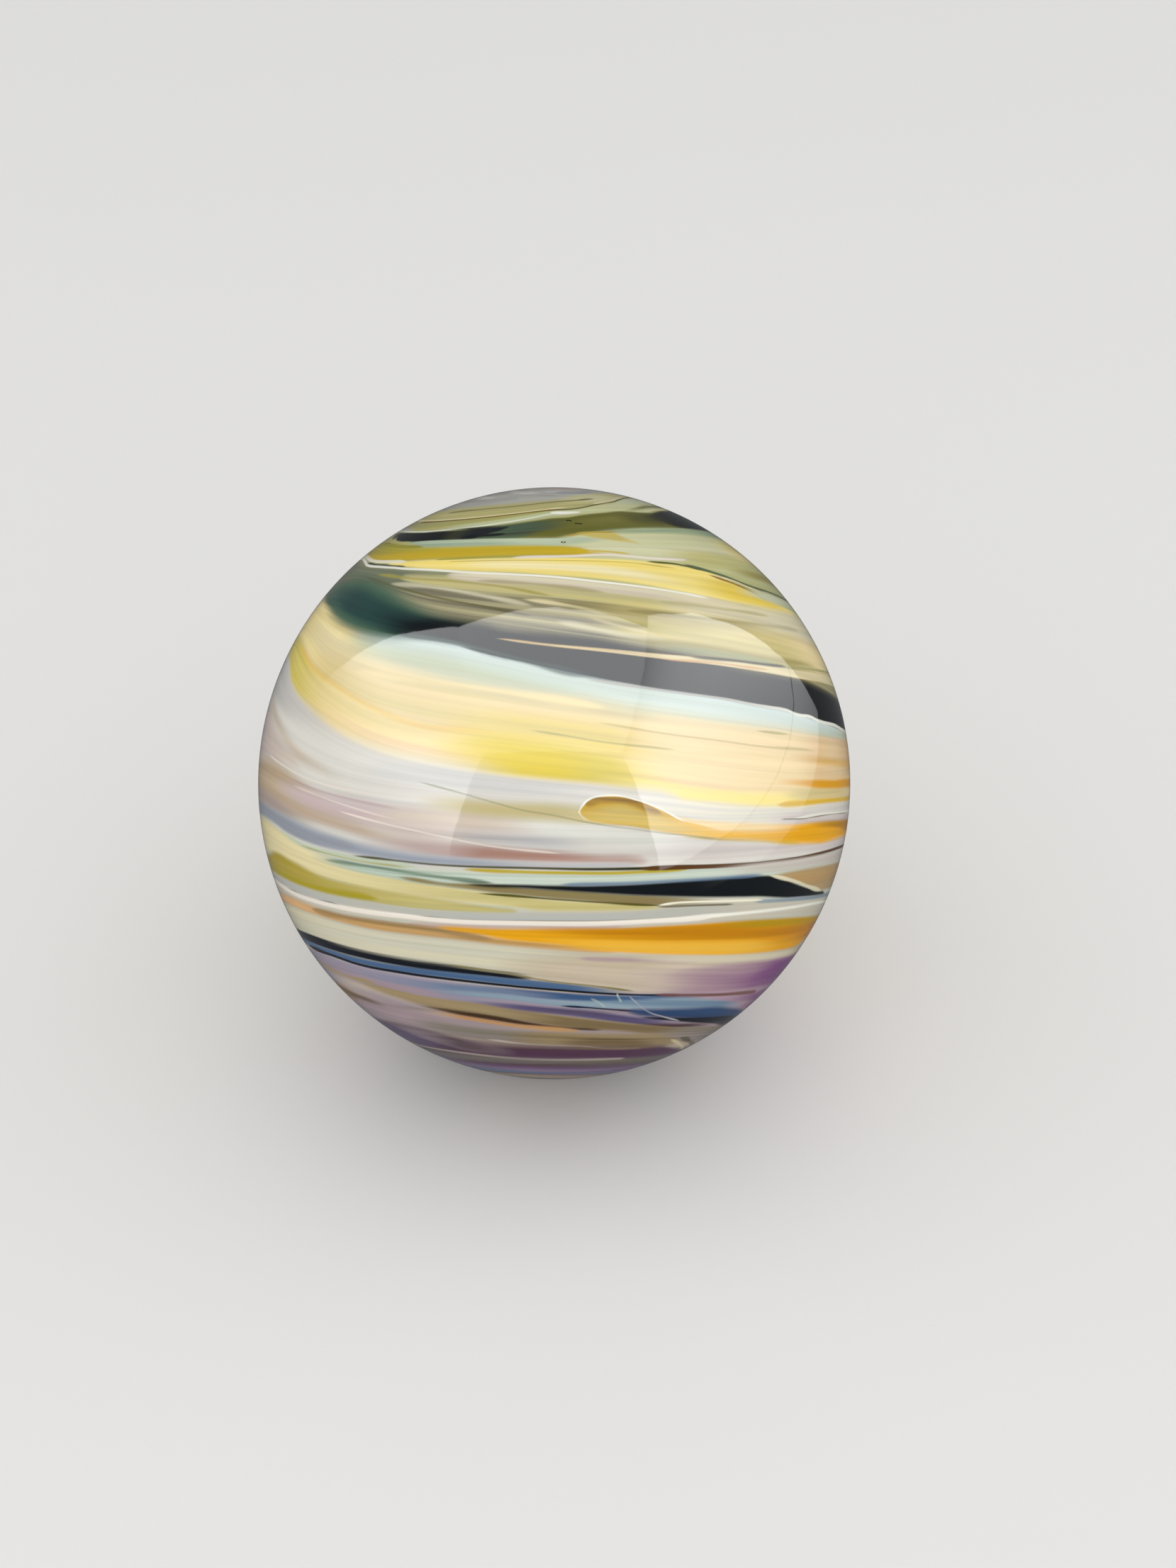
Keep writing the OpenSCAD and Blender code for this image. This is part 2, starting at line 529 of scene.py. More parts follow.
def lay_cap(band, brushed, thread):
    """The grey cap and the fine threads across it."""
    band("beige", "cap_pale", (-140, 84, 78), (-60, 86, 80), (40, 84, 78), (140, 80, 74), soft=2.5)
    thread(0.7, "white", "cap_pale", (-56, 72.6), (-46, 71.2), (-38, 70.6), soft=0.8)
    thread(0.9, "white", "cap_pale", (-34, 76), (-24, 74), (-14, 73.4), soft=1.0)
    thread(0.5, "cap_lilac", None, (-60, 70), (-48, 68.8), (-36, 68), (-20, 68.6), soft=0.8)
    thread(0.5, "cap_lilac", None, (-26, 70.4), (-14, 71), (0, 70.6), soft=0.9, strength=0.6)
    thread(0.9, "grey_blue", "cap_lilac", (-2, 73.6), (6, 72.8), (14, 72.8), (24, 74.4), soft=1.0)
    thread(0.8, "white", None, (-6, 74.4), (-1, 74.2), (4, 75), soft=0.9, strength=0.7)
    band("lilac", "beige", (0, 80, 76), (12, 80, 76.4), (24, 81, 77.6), soft=1.6)
    thread(1.1, "cap_pale", None, (100, 71), (150, 68), (200, 67), (240, 66), soft=1.0)
    thread(0.35, "olive_dark", None, (90, 67.8), (140, 65.2), (190, 62.5), (250, 61), soft=0.4)
    brushed("khaki", "sage_pale", (10, 70.4, 65.6), (25, 72.4, 67.4), (40, 74.8, 70), (55, 75.8, 71.6),
        (76, 76, 72.4), soft=1.2, share=1.0)
    brushed("sage", "sage_pale", (6, 62, 60), (20, 64.6, 61), (30, 66.6, 62), (40, 69.2, 62.4),
        (50, 70.8, 64), (76, 73, 66.6), (120, 70, 65), soft=0.5, share=1.0)
    band("aqua_pale", "sage_pale", (36, 68.6, 66.6), (44, 70, 67.6), (54, 71.4, 69), (70, 72, 69.8),
        soft=0.6)
    thread(0.3, "tan_olive", "olive_dark", (-47, 62.8), (-30, 63.3), (-15, 64.3), (0, 66.2), (10, 67.2),
        (20, 68.6), soft=0.35, share=0.6)
    thread(0.25, "khaki", None, (-52, 61.6), (-34, 61.4), (-16, 62.4), (0, 64.4), (12, 65.6), soft=0.35)
    thread((0.32, 0.2), "olive_dark", None, (0, 62), (5, 62.2), (10, 62.8), (15, 64), (20, 65.2),
        (25, 66.3), (30, 67.2), (40, 69.7), (52, 71.8), (66, 73.4))
    thread(0.3, "cream_thread", None, (20, 65.9), (30, 68), (40, 70.6), (52, 72.8), (64, 74.2), soft=0.3)
    band("olive_green", "olive_pale", (38, 64.4, 63.4), (47, 66.2, 65), (56, 67, 66), (66, 67.6, 66.8),
        soft=0.4)
    thread(0.2, "cream_thread", None, (42, 62.9), (50, 64.3), (58, 65.2), (73, 66.8), soft=0.14)
    band("cap_grey", "grey_blue", (-80, 59.6, 57.6), (-70, 59, 57.2), (-60, 58, 56.2))
    brushed("ochre_olive", "olive_pale", (-76, 60.8, 58.8), (-65, 60.3, 58), (-55, 59.4, 56.6),
        (-45, 59, 56.2), (-30, 59.3, 56.6), (-14, 59.9, 57.8), (-4, 61.4, 60.2), soft=(0.25, 0.6),
        share=1.0)
    thread(0.24, "olive_dark", "amber_dark", (-58, 59.3), (-48, 58.9), (-38, 58.8), (-28, 59.1),
        (-15, 60.2), (-5, 61.4), (2, 62.2), soft=0.16)
    thread(0.2, "cream_thread", None, (-70, 61.2), (-56, 59.9), (-46, 59.4), (-36, 59.3), (-26, 59.7),
        (-14, 60.8), (-4, 62.1), (4, 63))
    band("aqua_pale", "sage", (-34, 56.4, 55.2), (-20, 57.8, 55.8), (-10, 59.4, 57.3), (0, 61.2, 59.2),
        (7, 61.8, 60))
    thread((0.28, 0.2), "white_thread", "aqua_pale", (-80, 57.9), (-72, 57.2), (-60, 56), (-50, 55.2),
        (-40, 54.9), (-30, 55.3), (-20, 56.4), (-10, 58), (0, 60.2), (6, 60.8), soft=0.14, share=0.4)
    band("white_thread", None, (0, 61.1, 60.3), (3, 61.3, 60), (7, 61.3, 60.3), (10, 61.3, 60.8), soft=0.2)


def lay_dark_shoulder(band, brushed, thread):
    """The black streak at the upper left, which goes over into slate and olive. The sage field under it."""
    brushed("sage_pale", "sage", (4, 53.5, 46), (20, 53.3, 45), (40, 54.2, 44.5), (60, 54, 42),
        (80, 53.5, 41.5), (120, 52, 42), (160, 50, 43), (200, 49, 45), share=0.6)
    brushed("olive_green", "khaki_olive", (-34, 55, 51), (-15, 55.8, 51.2), (-5, 57.4, 51.2),
        (0, 58.3, 51.2), (5, 58.6, 52), (10, 59.6, 52.8), (20, 61, 53.8), (30, 62, 54.8), (40, 62, 55.4),
        (50, 63.4, 56), (60, 64.4, 56.2), (80, 66.2, 56.4), (120, 65, 56.5), (160, 62.5, 56),
        (200, 60.5, 56), (240, 59, 56.5), soft=(0.3, 0.5), share=0.3, fray=0.7)
    band("slate", "teal_green", (-28, 55, 51.6), (-18, 55.6, 51.4), (-10, 56.6, 51.8), (-2, 57.6, 53.6),
        soft=0.6, share=0.9, fray=0.8, strength=0.8)
    band("khaki_olive", "olive_green", (12, 58.6, 56), (24, 60.2, 57.4), (36, 61, 58.4), soft=0.7,
        share=1.2, fray=0.8, strength=0.25)
    band("green_black", None, (28, 60.8, 57.6), (36, 61.4, 57.4), (46, 62.4, 57.6), soft=1.0, fray=0.8,
        strength=0.5)
    band("green_black", "black", (42, 61.6, 58.4), (46, 62.6, 57.4), (52, 63.8, 56.8), (60, 64.6, 56.7),
        (70, 65.6, 57), (80, 66.2, 57.2), (120, 64.8, 57.6), (160, 62.3, 58), (195, 60, 57.6),
        soft=(0.25, 0.6), share=0.8, fray=0.9)
    band("aqua", "sage", (22, 54.6, 53.2), (32, 55.4, 53.8), (44, 56, 54.2), (60, 56.4, 54.4),
        (80, 56.6, 54.6), (130, 56, 54.6), share=0.6)
    thread(0.22, "green_black", None, (4.8, 57.4), (5.6, 57.4), (6.4, 57.3), soft=0.14)
    thread(0.2, "green_black", None, (7.6, 56.3), (8.6, 56.3), (9.6, 56.2), soft=0.14)
    band("slate", None, (-68, 56.2, 55), (-62, 55.8, 53.4))
    band("black", None, (-63, 55.6, 54.8), (-60, 55.5, 53.3), (-55, 55.1, 52.2), (-50, 54.8, 51.9),
        (-45, 54.6, 51.4), (-40, 54.6, 51.2), (-34, 54.5, 51.1), (-29, 54.4, 51.3), soft=(0.2, 0.25),
        fray=0.3)
    band("blue_black", "slate", (-28, 54.9, 51.4), (-24, 55.1, 51.8), (-19, 55.3, 53.2), (-15, 55.3, 54.6),
        soft=0.3, share=0.3, fray=0.9)
    thread(0.4, "blue_black", None, (-27, 51.8), (-22, 52.2), (-16, 52.5), soft=0.3)
    band("aqua", "aqua_pale", (-46, 51.5, 50.7), (-30, 51.2, 49.2), (-20, 51.1, 49.1), (-10, 51, 49),
        (0, 51, 49), (8, 51.4, 49.6), soft=(0.2, 0.5), change=(-20, 8))
    band("khaki", "ochre", (9, 53, 52.2), (14, 53.2, 51.2), (19, 53, 50.6), (22.6, 51.4, 50.2), soft=0.3,
        share=0.6)
    thread(0.14, "ochre", "amber_dark", (5, 52), (11, 53), (19, 53.4), soft=0.14)
    brushed("khaki", "sage", (38, 48.4, 44), (50, 48.4, 43.8), (62, 48, 43), (76, 47.6, 42.8),
        (110, 47.6, 43.4), soft=0.9)
    band("khaki_olive", None, (58, 44.2, 42), (66, 44, 41.6), (78, 43.6, 41), (105, 43, 41), soft=0.7)
    brushed("pale_yellow", "khaki", (62, 53, 48), (70, 53.2, 47.4), (82, 53, 47), (120, 52, 46.4),
        (160, 50, 45.5), (200, 50, 44), (240, 49.5, 43.6), soft=1.2, share=1.0)


def lay_ochre(band, brushed, thread):
    """The ochre streak, the pale yellow one that widens to the right, and the threads between them."""
    brushed("khaki", "ochre_olive", (-110, 54, 50), (-76, 55, 49.4), (-68, 54, 48.6), (-60, 52.6, 47.4),
        (-52, 51.4, 46.6), (-45, 50.4, 46), soft=0.5, share=1.1)
    thread(0.3, "olive_dark", "ochre_olive", (-66, 52.4), (-58, 51.2), (-50, 50.2), (-42, 49.6), soft=0.3)
    brushed("ochre", "ochre_olive", (-110, 50, 49.6), (-90, 50.6, 49.4), (-75, 50.6, 49), (-65, 50.5, 47.8),
        (-55, 49.8, 46.5), (-45, 49.3, 45.8), (-30, 49, 45.6), (-10, 48.8, 45.9), (0, 48.6, 46),
        (5, 48.3, 46), (9, 47.6, 46.6), soft=(0.4, 0.3), share=0.5, fray=0.6)
    band("ochre_olive", None, (-76, 50.6, 49.4), (-65, 50.5, 48.6), (-55, 49.8, 48.2), (-45, 49.2, 48.3),
        (-34, 48.9, 48.5), strength=0.8)
    thread((0.4, 0.15), "ochre", None, (7, 47.4), (10, 47.3), (15, 47.2), (20, 46.8))
    thread((0.3, 0.12), "ochre", None, (8, 46.7), (11, 46.6), (16, 46.4))
    brushed("pale_yellow", "yellow", (-47, 45.4, 44.5), (-40, 45.3, 43.7), (-35, 45.3, 43.1),
        (-20, 45.2, 42), (-10, 45.1, 41.5), (0, 45.1, 40.7), (10, 45, 40), (20, 44.8, 38.9),
        (30, 44.1, 37.4), (40, 43, 36), (45, 41.8, 35.5), (50, 40, 35.2), (55, 38.2, 34.7),
        (60, 36.6, 33.9), (66, 35.6, 33.4), (76, 34.6, 33), soft=0.35, share=0.7)
    brushed("yellow", "ochre", (42, 40.6, 35.8), (50, 39.4, 35), (58, 37.2, 34), (66, 35.6, 33.4), soft=0.8,
        share=0.6)
    band("white_thread", "pale_yellow", (-18, 44.4, 43), (0, 43.7, 42.2), (14, 42.8, 41), (26, 41, 39.4),
        soft=0.8, share=0.9, strength=0.55)
    thread(0.12, "khaki_olive", None, (-26, 44.7), (0, 44.5), (20, 44.2), (31, 43.3), soft=0.16,
        strength=0.4)
    thread(0.2, "ochre_olive", None, (-30, 45.4), (-10, 45.7), (2, 45.8))
    thread(0.4, "cream_thread", "white_thread", (-76, 49.5), (-70, 48.7), (-65, 47.8), (-60, 46.8),
        (-55, 46.2), (-50, 45.9), (-44, 45.5), share=0.7)
    thread((0.3, 0.2), "black", None, (-61, 46), (-55, 45.3), (-50, 44.9), (-46, 44.4), (-42, 44),
        soft=0.18)
    thread(0.28, "pink_white", None, (-8, 45.4), (5, 45.7), (15, 46.3), (20, 46), (28, 45.6), (36, 45.7),
        soft=0.25)
    thread(0.24, "olive_dark", None, (27, 44.6), (33, 44.4), (36, 44), (41, 43.2))
    thread((0.3, 0.5), "olive_dark", "teal_green", (38, 44), (45, 42.5), (48, 41.8), (55, 40), (65, 38.7),
        (78, 37.5), (100, 36.6), (130, 37), soft=0.28)
    thread(0.22, "cream_thread", None, (45, 41.6), (50, 40.8), (54, 39.7), (59, 38.6), soft=0.16)
    thread(0.26, "amber_dark", None, (44, 41.4), (50, 39.9), (55, 38.3), (59, 36.9), soft=0.25)
    band("sage_pale", "aqua_pale", (56, 38.6, 36.8), (63, 38.4, 36), (72, 37.4, 35.4), (90, 36.4, 34.8),
        (120, 36, 34.4))
    thread(0.24, "ochre_olive", None, (47, 34.6), (52, 33.9), (60, 33.3), (68, 32.9), soft=0.25)


def lay_beige(band, brushed, thread):
    """The streaky grey-green, beige and khaki field above the black band."""
    brushed("grey_green", "brown_grey", (-140, 47, 40), (-100, 48, 40), (-75, 47.6, 37), (-60, 45.6, 36),
        (-45, 44, 33), (-32, 42, 31), (-16, 40.6, 29.6), share=0.9, fray=1.4)
    band("brown_grey", "beige_green", (-34, 38.4, 31.6), (-20, 36.8, 29.6), (-8, 35, 27.6), (4, 33.6, 26),
        (16, 31.4, 24.4), soft=1.2, share=0.8, fray=1.6)
    band("beige_green", "khaki", (-38, 41.4, 40.4), (-28, 41, 38.4), (-15, 40.6, 36.4), (0, 39.2, 34.8),
        (15, 37.8, 33.6), (30, 36.2, 32.8), soft=0.6, fray=1.2)
    band("beige", "beige_pale", (-24, 41.4, 40.4), (0, 39.8, 38), (20, 37.8, 35.8), (40, 35.8, 33.8))
    brushed("khaki", "cream", (14, 34.6, 27), (30, 33, 25.4), (45, 31.6, 23.2), (60, 30.4, 21.6),
        (76, 29, 21.2), (100, 29, 21.4), (140, 29, 23), (180, 31.6, 26), (220, 35, 30), (250, 37.6, 33.4),
        soft=0.8, share=0.5, fray=1.0, change=[(-180, 1), (-120, 0), (50, 0), (78, 1), (180, 1)])
    brushed("beige_pale", "cream", (28, 36, 31.6), (45, 34.8, 30), (60, 34, 28.8), (78, 33.6, 27.4),
        (110, 34, 28), (150, 36, 31), (200, 41, 36), (240, 44, 39), soft=0.8, share=0.7, fray=0.8)
    thread((0.3, 0.22), "white_thread", None, (-78, 48.6), (-72, 48.2), (-65, 46.8), (-60, 45.5),
        (-50, 44.4), (-45, 43.9), (-40, 43.3), (-35, 42.9), (-30, 42.5), (-20, 41.6), (-10, 40.9),
        (0, 40.2), (10, 39.2), (20, 38.2), (30, 37), (36, 36.2), soft=0.14)
    thread(0.22, "olive_dark", "brown_grey", (-52, 41.4), (-42, 39.2), (-34, 37.4), (-24, 35.2),
        (-14, 33.2), (-6, 31.6), soft=0.3)
    thread(0.22, "khaki_olive", None, (-48, 42.2), (-36, 40.6), (-24, 39.6), (-12, 38), (-2, 36), soft=0.3)
    thread(0.35, "beige_pale", None, (-40, 39.4), (-28, 38.2), (-16, 36), (-6, 33.8), soft=0.4,
        strength=0.7)
    thread(0.25, "tan_olive", None, (-16, 39.4), (-4, 38.4), (10, 36.8), soft=0.35, strength=0.7)
    thread(0.28, "cream_thread", None, (-4, 34.6), (5, 33.2), (12, 31.8), (21, 30.4), soft=0.3)
    thread(0.3, "tan_olive", None, (-6, 32.2), (6, 31), (18, 29.2), soft=0.35)
    thread(0.4, "beige_pale", None, (3, 29.6), (10, 28.2), (17, 27), (22, 26.6), soft=0.5, strength=0.7)
    thread(0.25, "cream_thread", None, (9, 30.6), (14, 29.2), (20, 27.8), soft=0.35, strength=0.7)
    thread(0.3, "tan_olive", None, (18, 32.4), (35, 31.2), (50, 30.6), (66, 30), soft=0.4, strength=0.6)
    thread(0.25, "khaki_olive", None, (26, 34.6), (40, 33.6), (54, 32.8), soft=0.35, strength=0.6)
    band("tan_olive", "khaki", (6, 34, 29.8), (20, 33.2, 29.2), (34, 32.4, 28.8), (48, 31.6, 29), soft=0.8,
        share=0.8, fray=1.6, strength=0.5)
    thread(0.6, "tan_olive", "khaki_olive", (20, 26.2), (34, 25), (48, 23.4), (62, 22.6), soft=0.7,
        strength=0.7)
    thread(0.4, "grey_green", "sage", (24, 24.6), (36, 23.8), (48, 22.4), soft=0.5, strength=0.7)
    thread(0.25, "olive_pale", None, (52, 22), (64, 21.7), (80, 21.6), (110, 22), soft=0.25)


def lay_black_band(band, brushed, thread):
    """The teal patch and the long black band that runs from it, with its cream and white threads."""
    brushed("blue_fringe", "aqua_pale", (-40, 29, 26.4), (-30, 28.4, 24.8), (-22, 27.2, 23.4),
        (-15, 25.6, 21.6), (-5, 23, 19), (5, 20.6, 16.6), (15, 18.6, 14.4), (30, 16.8, 12.2),
        (45, 15, 10.8), (58, 13, 9.6), (74, 11, 8.8), soft=(0.4, 1.2), share=0.5)
    brushed("teal_green", "teal", (-74, 40.4, 37.8), (-66, 41.4, 35.6), (-58, 41.6, 32.8),
        (-50, 40.4, 30.2), (-42, 38, 28.2), (-34, 34.8, 27), (-26, 32, 26.6), soft=(1.5, 1.0), fray=1.6)
    brushed("teal", "blue_black", (-60, 39.4, 36.2), (-52, 38.6, 33.2), (-44, 36.4, 30.8),
        (-36, 33.6, 28.8), (-28, 31.4, 27.4), (-18, 30, 25.6), soft=(1.3, 1.0), share=0.3, fray=1.2,
        change=(-46, -20))
    band("blue_black", "black", (-32, 30.4, 27.6), (-25, 30.2, 26.8), (-20, 29.9, 26), (-15, 29.6, 24.2),
        (-10, 28.6, 22.8), (-5, 28, 21.8), (0, 27.5, 20.5), (5, 27, 19.4), (10, 26.4, 18.3),
        (15, 25.4, 17.5), (20, 24.6, 16.8), (25, 24, 16.3), (30, 23.2, 15.8), (40, 21.3, 14.5),
        (50, 20.3, 13.4), (60, 19.2, 12), (65, 18.3, 11.4), (75, 16.9, 10.3), (85, 16, 9.6), (120, 15, 9.8),
        (150, 17, 12.4), (180, 21, 17.6), (205, 25, 22.6), (225, 28, 27), soft=(0.9, 0.35), share=0.8,
        fray=1.0)
    thread(0.35, "navy", "teal_green", (-30, 27.4), (-22, 26.4), (-14, 24.4), (-5, 22), (6, 19.4), soft=0.5,
        strength=0.7)
    thread((0.1, 1.6), "tan_line", "cream_thread", (-9, 26.3), (0, 25.1), (10, 24.2), (20, 23.3),
        (30, 22.5), (40, 21.8), (50, 21), (62, 20.3), (76, 19.9), (100, 19.4), (130, 20), share=0.8,
        change=(-4, 44))
    thread(0.16, "orange_tan", None, (24, 22.5), (36, 21.9), (46, 21.2), strength=0.7)
    thread(0.25, "green_black", None, (30, 23), (40, 22.6), (46, 22.2), (52, 22), soft=0.3)
    thread((0.2, 0.34), "cap_lilac", "white_thread", (9, 18.2), (20, 16.7), (30, 15.6), (35, 15.1),
        (40, 14.4), (45, 13.9), (50, 13.4), (53, 12.6), (58, 12.3), (61, 11.6), (70, 10.9), (76, 10.2),
        (90, 9.5), soft=0.14, share=0.3, change=(30, 62))


def lay_yellow_band(band, brushed, thread):
    """The cream field and the wide yellow band, deep yellow in the middle and peach at the right."""
    brushed("cream", "pale_yellow", (-90, 37.4, 30), (-75, 38, 29), (-65, 35.8, 26.4), (-55, 31.8, 21.6),
        (-45, 28.6, 17.6), (-35, 26.6, 13.6), (-25, 24.4, 10.4), (-12, 21, 8), soft=0.8)
    brushed("aqua_pale", "beige_pale", (-38, 27.2, 23.4), (-30, 26, 20.6), (-20, 24, 17.8),
        (-10, 21.4, 15.6), (5, 18.2, 13.4), (20, 15.4, 11.2), (40, 12.6, 9.4), (58, 11, 8.4), soft=1.5,
        share=0.9)
    brushed("beige_pale", "cream", (-60, 31, 27), (-48, 27.6, 23), (-36, 23.6, 19.6), (-24, 20, 16.4),
        soft=1.4, share=1.0, strength=0.7)
    brushed("aqua", "aqua_pale", (-42, 28, 24.4), (-32, 26.6, 22), (-20, 24.4, 19.8), (-8, 21.6, 17.4),
        (6, 18, 15.4), share=0.6, strength=0.45)
    brushed("olive_yellow", "pale_yellow", (-120, 33, 31), (-100, 31, 28.4), (-80, 29.6, 26.4),
        (-70, 28, 22.8), (-65, 26, 19.4), (-55, 21.6, 14.6), (-45, 17.8, 10.6), (-35, 13.8, 6.6),
        (-25, 10.6, 4.2), (-10, 8.8, 1.8), (10, 7, 0), (30, 4, -3), (50, 2.4, -3.8), soft=(0.8, 0.7),
        share=0.4, change=(-60, -42))
    brushed("peach", "khaki", (-54, 25, 13), (-42, 22, 9), (-28, 19.4, 7), (-8, 16, 9), (14, 12.6, 8),
        soft=1.6, share=1.1, strength=0.5)
    thread(0.4, "gold", "khaki", (-66, 26), (-55, 21.5), (-45, 17.6), (-35, 13.6), (-25, 10.4), (-12, 9),
        soft=0.6, share=0.5, strength=0.5)
    brushed("peach", "pale_yellow", (-42, 12, 9), (-30, 9, 5.4), (-20, 7.8, 3.6), (-8, 7, 2), soft=1.4,
        share=0.9)
    brushed("yellow", "khaki", (-12, 12.4, 7), (0, 11.2, 5.4), (12, 9.4, 3.4), (22, 7.6, 2), soft=1.4,
        strength=0.8)
    brushed("deep_yellow", "olive_yellow", (-14, 8.4, 2.2), (-6, 7.6, 1.4), (2, 6.2, 0.6), (9, 4.2, 0.2),
        (16, 2.4, -0.8), soft=(1.2, 0.6), share=0.4, change=(-2, 16))
    brushed("olive_yellow", "yellow", (10, 2.6, 0), (17, 2, -1), (24, 0.8, -2), (33, -0.6, -3), soft=0.6,
        strength=0.85)
    brushed("peach", "cream", (20, 11.4, -0.6), (28, 10.6, -1.6), (40, 9.8, -1.8), (57, 9.2, -1), soft=1.4,
        share=0.9)
    band("pale_yellow", "yellow", (16, 0.6, -1.6), (26, -1, -3), (36, -1.8, -3.8), (50, -2.2, -4), soft=0.7,
        share=0.7)
    brushed("peach_tan", "peach", (58, 9, 0.8), (64, 8.8, 1), (74, 8.6, 1.4), (84, 8.8, 1.6), (120, 9, 2.4),
        (160, 13, 6), (200, 20, 12), (240, 28, 20), soft=(0.9, 0.5), share=0.9,
        change=[(-180, 0), (50, 0), (56, 1), (82, 0), (180, 0)])
    thread(0.6, "tan_line", "gold", (56, 4.4), (64, 4), (76, 3.8), (90, 4), soft=0.7, strength=0.6)
    band("aqua_pale", "sage", (58, 10.8, 9.2), (66, 10.2, 8.8), (78, 9.6, 8.6), (110, 9.8, 8.8))
    thread(0.12, "khaki_olive", None, (-2, 9), (5, 7.9), (10, 7.1), (21, 6), strength=0.6)
    thread(0.12, "khaki_olive", None, (10, 10.4), (20, 8.8), (30, 7.8), (40, 6.8), (56, 6), strength=0.6)
    thread(0.14, "khaki_olive", None, (42, 9.4), (48, 9), strength=0.7)
    thread(0.4, "cream", None, (-40, 20.5), (-25, 18.4), (-10, 16.4), (8, 13.6), soft=0.7, strength=0.7)
    band("orange", "orange_deep", (53, 0.6, -0.5), (60, 0.6, -1), (65, 0.6, -1), (75, 0.9, -0.7),
        (85, 0.9, -0.5), (110, 1.2, 0), soft=0.3, share=0.7)
    band("khaki", "peach", (52, -1.2, -3), (60, -1.2, -3), (72, -1.1, -2.6), share=0.7)
    thread((0.5, 0.3), "gold", "ochre", (48, -3.8), (55, -3.5), (60, -3.3), (70, -3), (80, -2.7), soft=0.3)


def lay_white_field(band, brushed, thread):
    """The white, grey and lilac field on the left, and the threads that fan out over it."""
    brushed("white_grey", "grey_blue", (-150, 26, 17), (-110, 26, 17), (-80, 25, 17), (-70, 21.8, 15.4),
        (-60, 16.8, 12.2), (-50, 12.8, 9.6), share=0.5)
    brushed("beige", "lilac", (-150, 16, 5), (-110, 16, 5), (-85, 17, 5), (-75, 15, 4.6), (-66, 11.6, 4),
        (-58, 8.6, 3.4), soft=1.6, share=0.7)
    band("white", "white_grey", (-64, 14, 9), (-52, 11, 5), (-40, 8, 1.4), (-28, 5, 0), (-14, 2.8, -0.6),
        soft=1.6, share=0.5, grain="broad")
    thread(0.8, "taupe", None, (-72, 14.6), (-66, 11.4), (-60, 8.2), (-54, 5.2), (-46, 2.4), soft=1.3,
        strength=0.45)
    thread(0.4, "beige", None, (-70, 9.4), (-62, 6), (-55, 3.4), soft=0.7, strength=0.6)
    brushed("taupe", "beige", (-150, 4, -2), (-110, 4, -2), (-80, 4.6, -1), (-70, 4.4, -2), (-60, 2.6, -4),
        (-50, -1, -6), (-40, -5, -7.8), share=0.4)
    brushed("taupe", "grey_lilac", (-150, -2, -5), (-110, -2, -5), (-78, -0.4, -4.6), (-66, -1.6, -5.4),
        (-56, -4, -7), soft=0.9, share=0.9, strength=0.8)
    brushed("lilac", "mauve_pink", (-58, 0.2, -2.6), (-48, -1.6, -5), (-38, -2.8, -6.6), (-26, -4.4, -8.2),
        soft=1.1)
    thread(0.7, "taupe", "mauve_pink", (-60, -3.4), (-50, -6), (-42, -7.6), (-32, -9.4), soft=0.8,
        share=0.7, strength=0.7)
    thread(0.12, "pink_white", None, (-67, 5), (-60, 3.2), (-55, 1.8), (-50, 0.6), (-45, -0.3), (-40, -1),
        (-32, -2), (-22, -2.8), soft=0.16)
    thread(0.14, "pink_white", None, (-54, -0.8), (-46, -2.6), (-38, -4.4), (-28, -6.6), (-18, -8.8),
        soft=0.18, strength=0.8)
    thread(0.16, "mauve_pink", "purple", (-56, 0.6), (-48, -1.2), (-40, -2.6), (-30, -4.2), soft=0.25,
        share=0.4, strength=0.7)
    brushed("white_grey", "white", (-32, 3.6, -3), (-20, 2.2, -3), (-10, 1, -3), (0, 0.1, -2.9),
        (12, -0.7, -2.4), (22, -2, -3), soft=(0.9, 1.2), share=0.9)
    brushed("grey_blue", "white_grey", (-30, 3.4, 0.6), (-20, 2.4, -0.4), (-10, 1, -1.4), (2, 0, -2),
        soft=0.9, share=1.0, strength=0.35)
    band("white", "cream_low", (22, -3.4, -5.6), (30, -3.6, -7), (40, -4.4, -7.4), (50, -4.6, -6.6),
        soft=0.8, share=0.5)
    brushed("white", "aqua_white", (-8, -4.6, -8), (2, -5, -9.4), (12, -8, -11), (24, -10, -12), share=0.5)
    brushed("beige", "lilac", (-30, -4.4, -9.4), (-20, -4.6, -10), (-8, -5.4, -10))
    band("grey_blue", "white_grey", (-16, -8.4, -10.2), (-8, -8.8, -10.8), (2, -9.6, -11.6), soft=0.9,
        share=0.9, strength=0.5)
    band("khaki", "taupe", (-18, -2.6, -5), (-8, -3.4, -6), (0, -3.6, -6.4), (6, -4, -6.8), soft=0.8,
        share=0.8, strength=0.95)
    brushed("white_grey", "lilac", (24, -11, -14), (40, -11, -13.4), (50, -11.2, -12.8), (62, -11, -12.4),
        (80, -9.4, -11.6), (120, -8, -10), (160, -6, -8), soft=0.4)
    band("lilac", "white_grey", (48, -5.4, -7.4), (58, -5.7, -7.5), (70, -5.6, -7.4), (84, -5.4, -7),
        (120, -4.4, -6.4), (180, -3, -6), share=0.8)
    thread(0.12, "brown_grey", None, (48, -6.5), (52, -6.5), (57, -6.2), (65, -5.7), (76, -5.5), soft=0.14)
    thread(0.18, "white_thread", None, (53, -6.2), (60, -5.7), (70, -5.4), (86, -4.9), soft=0.15)


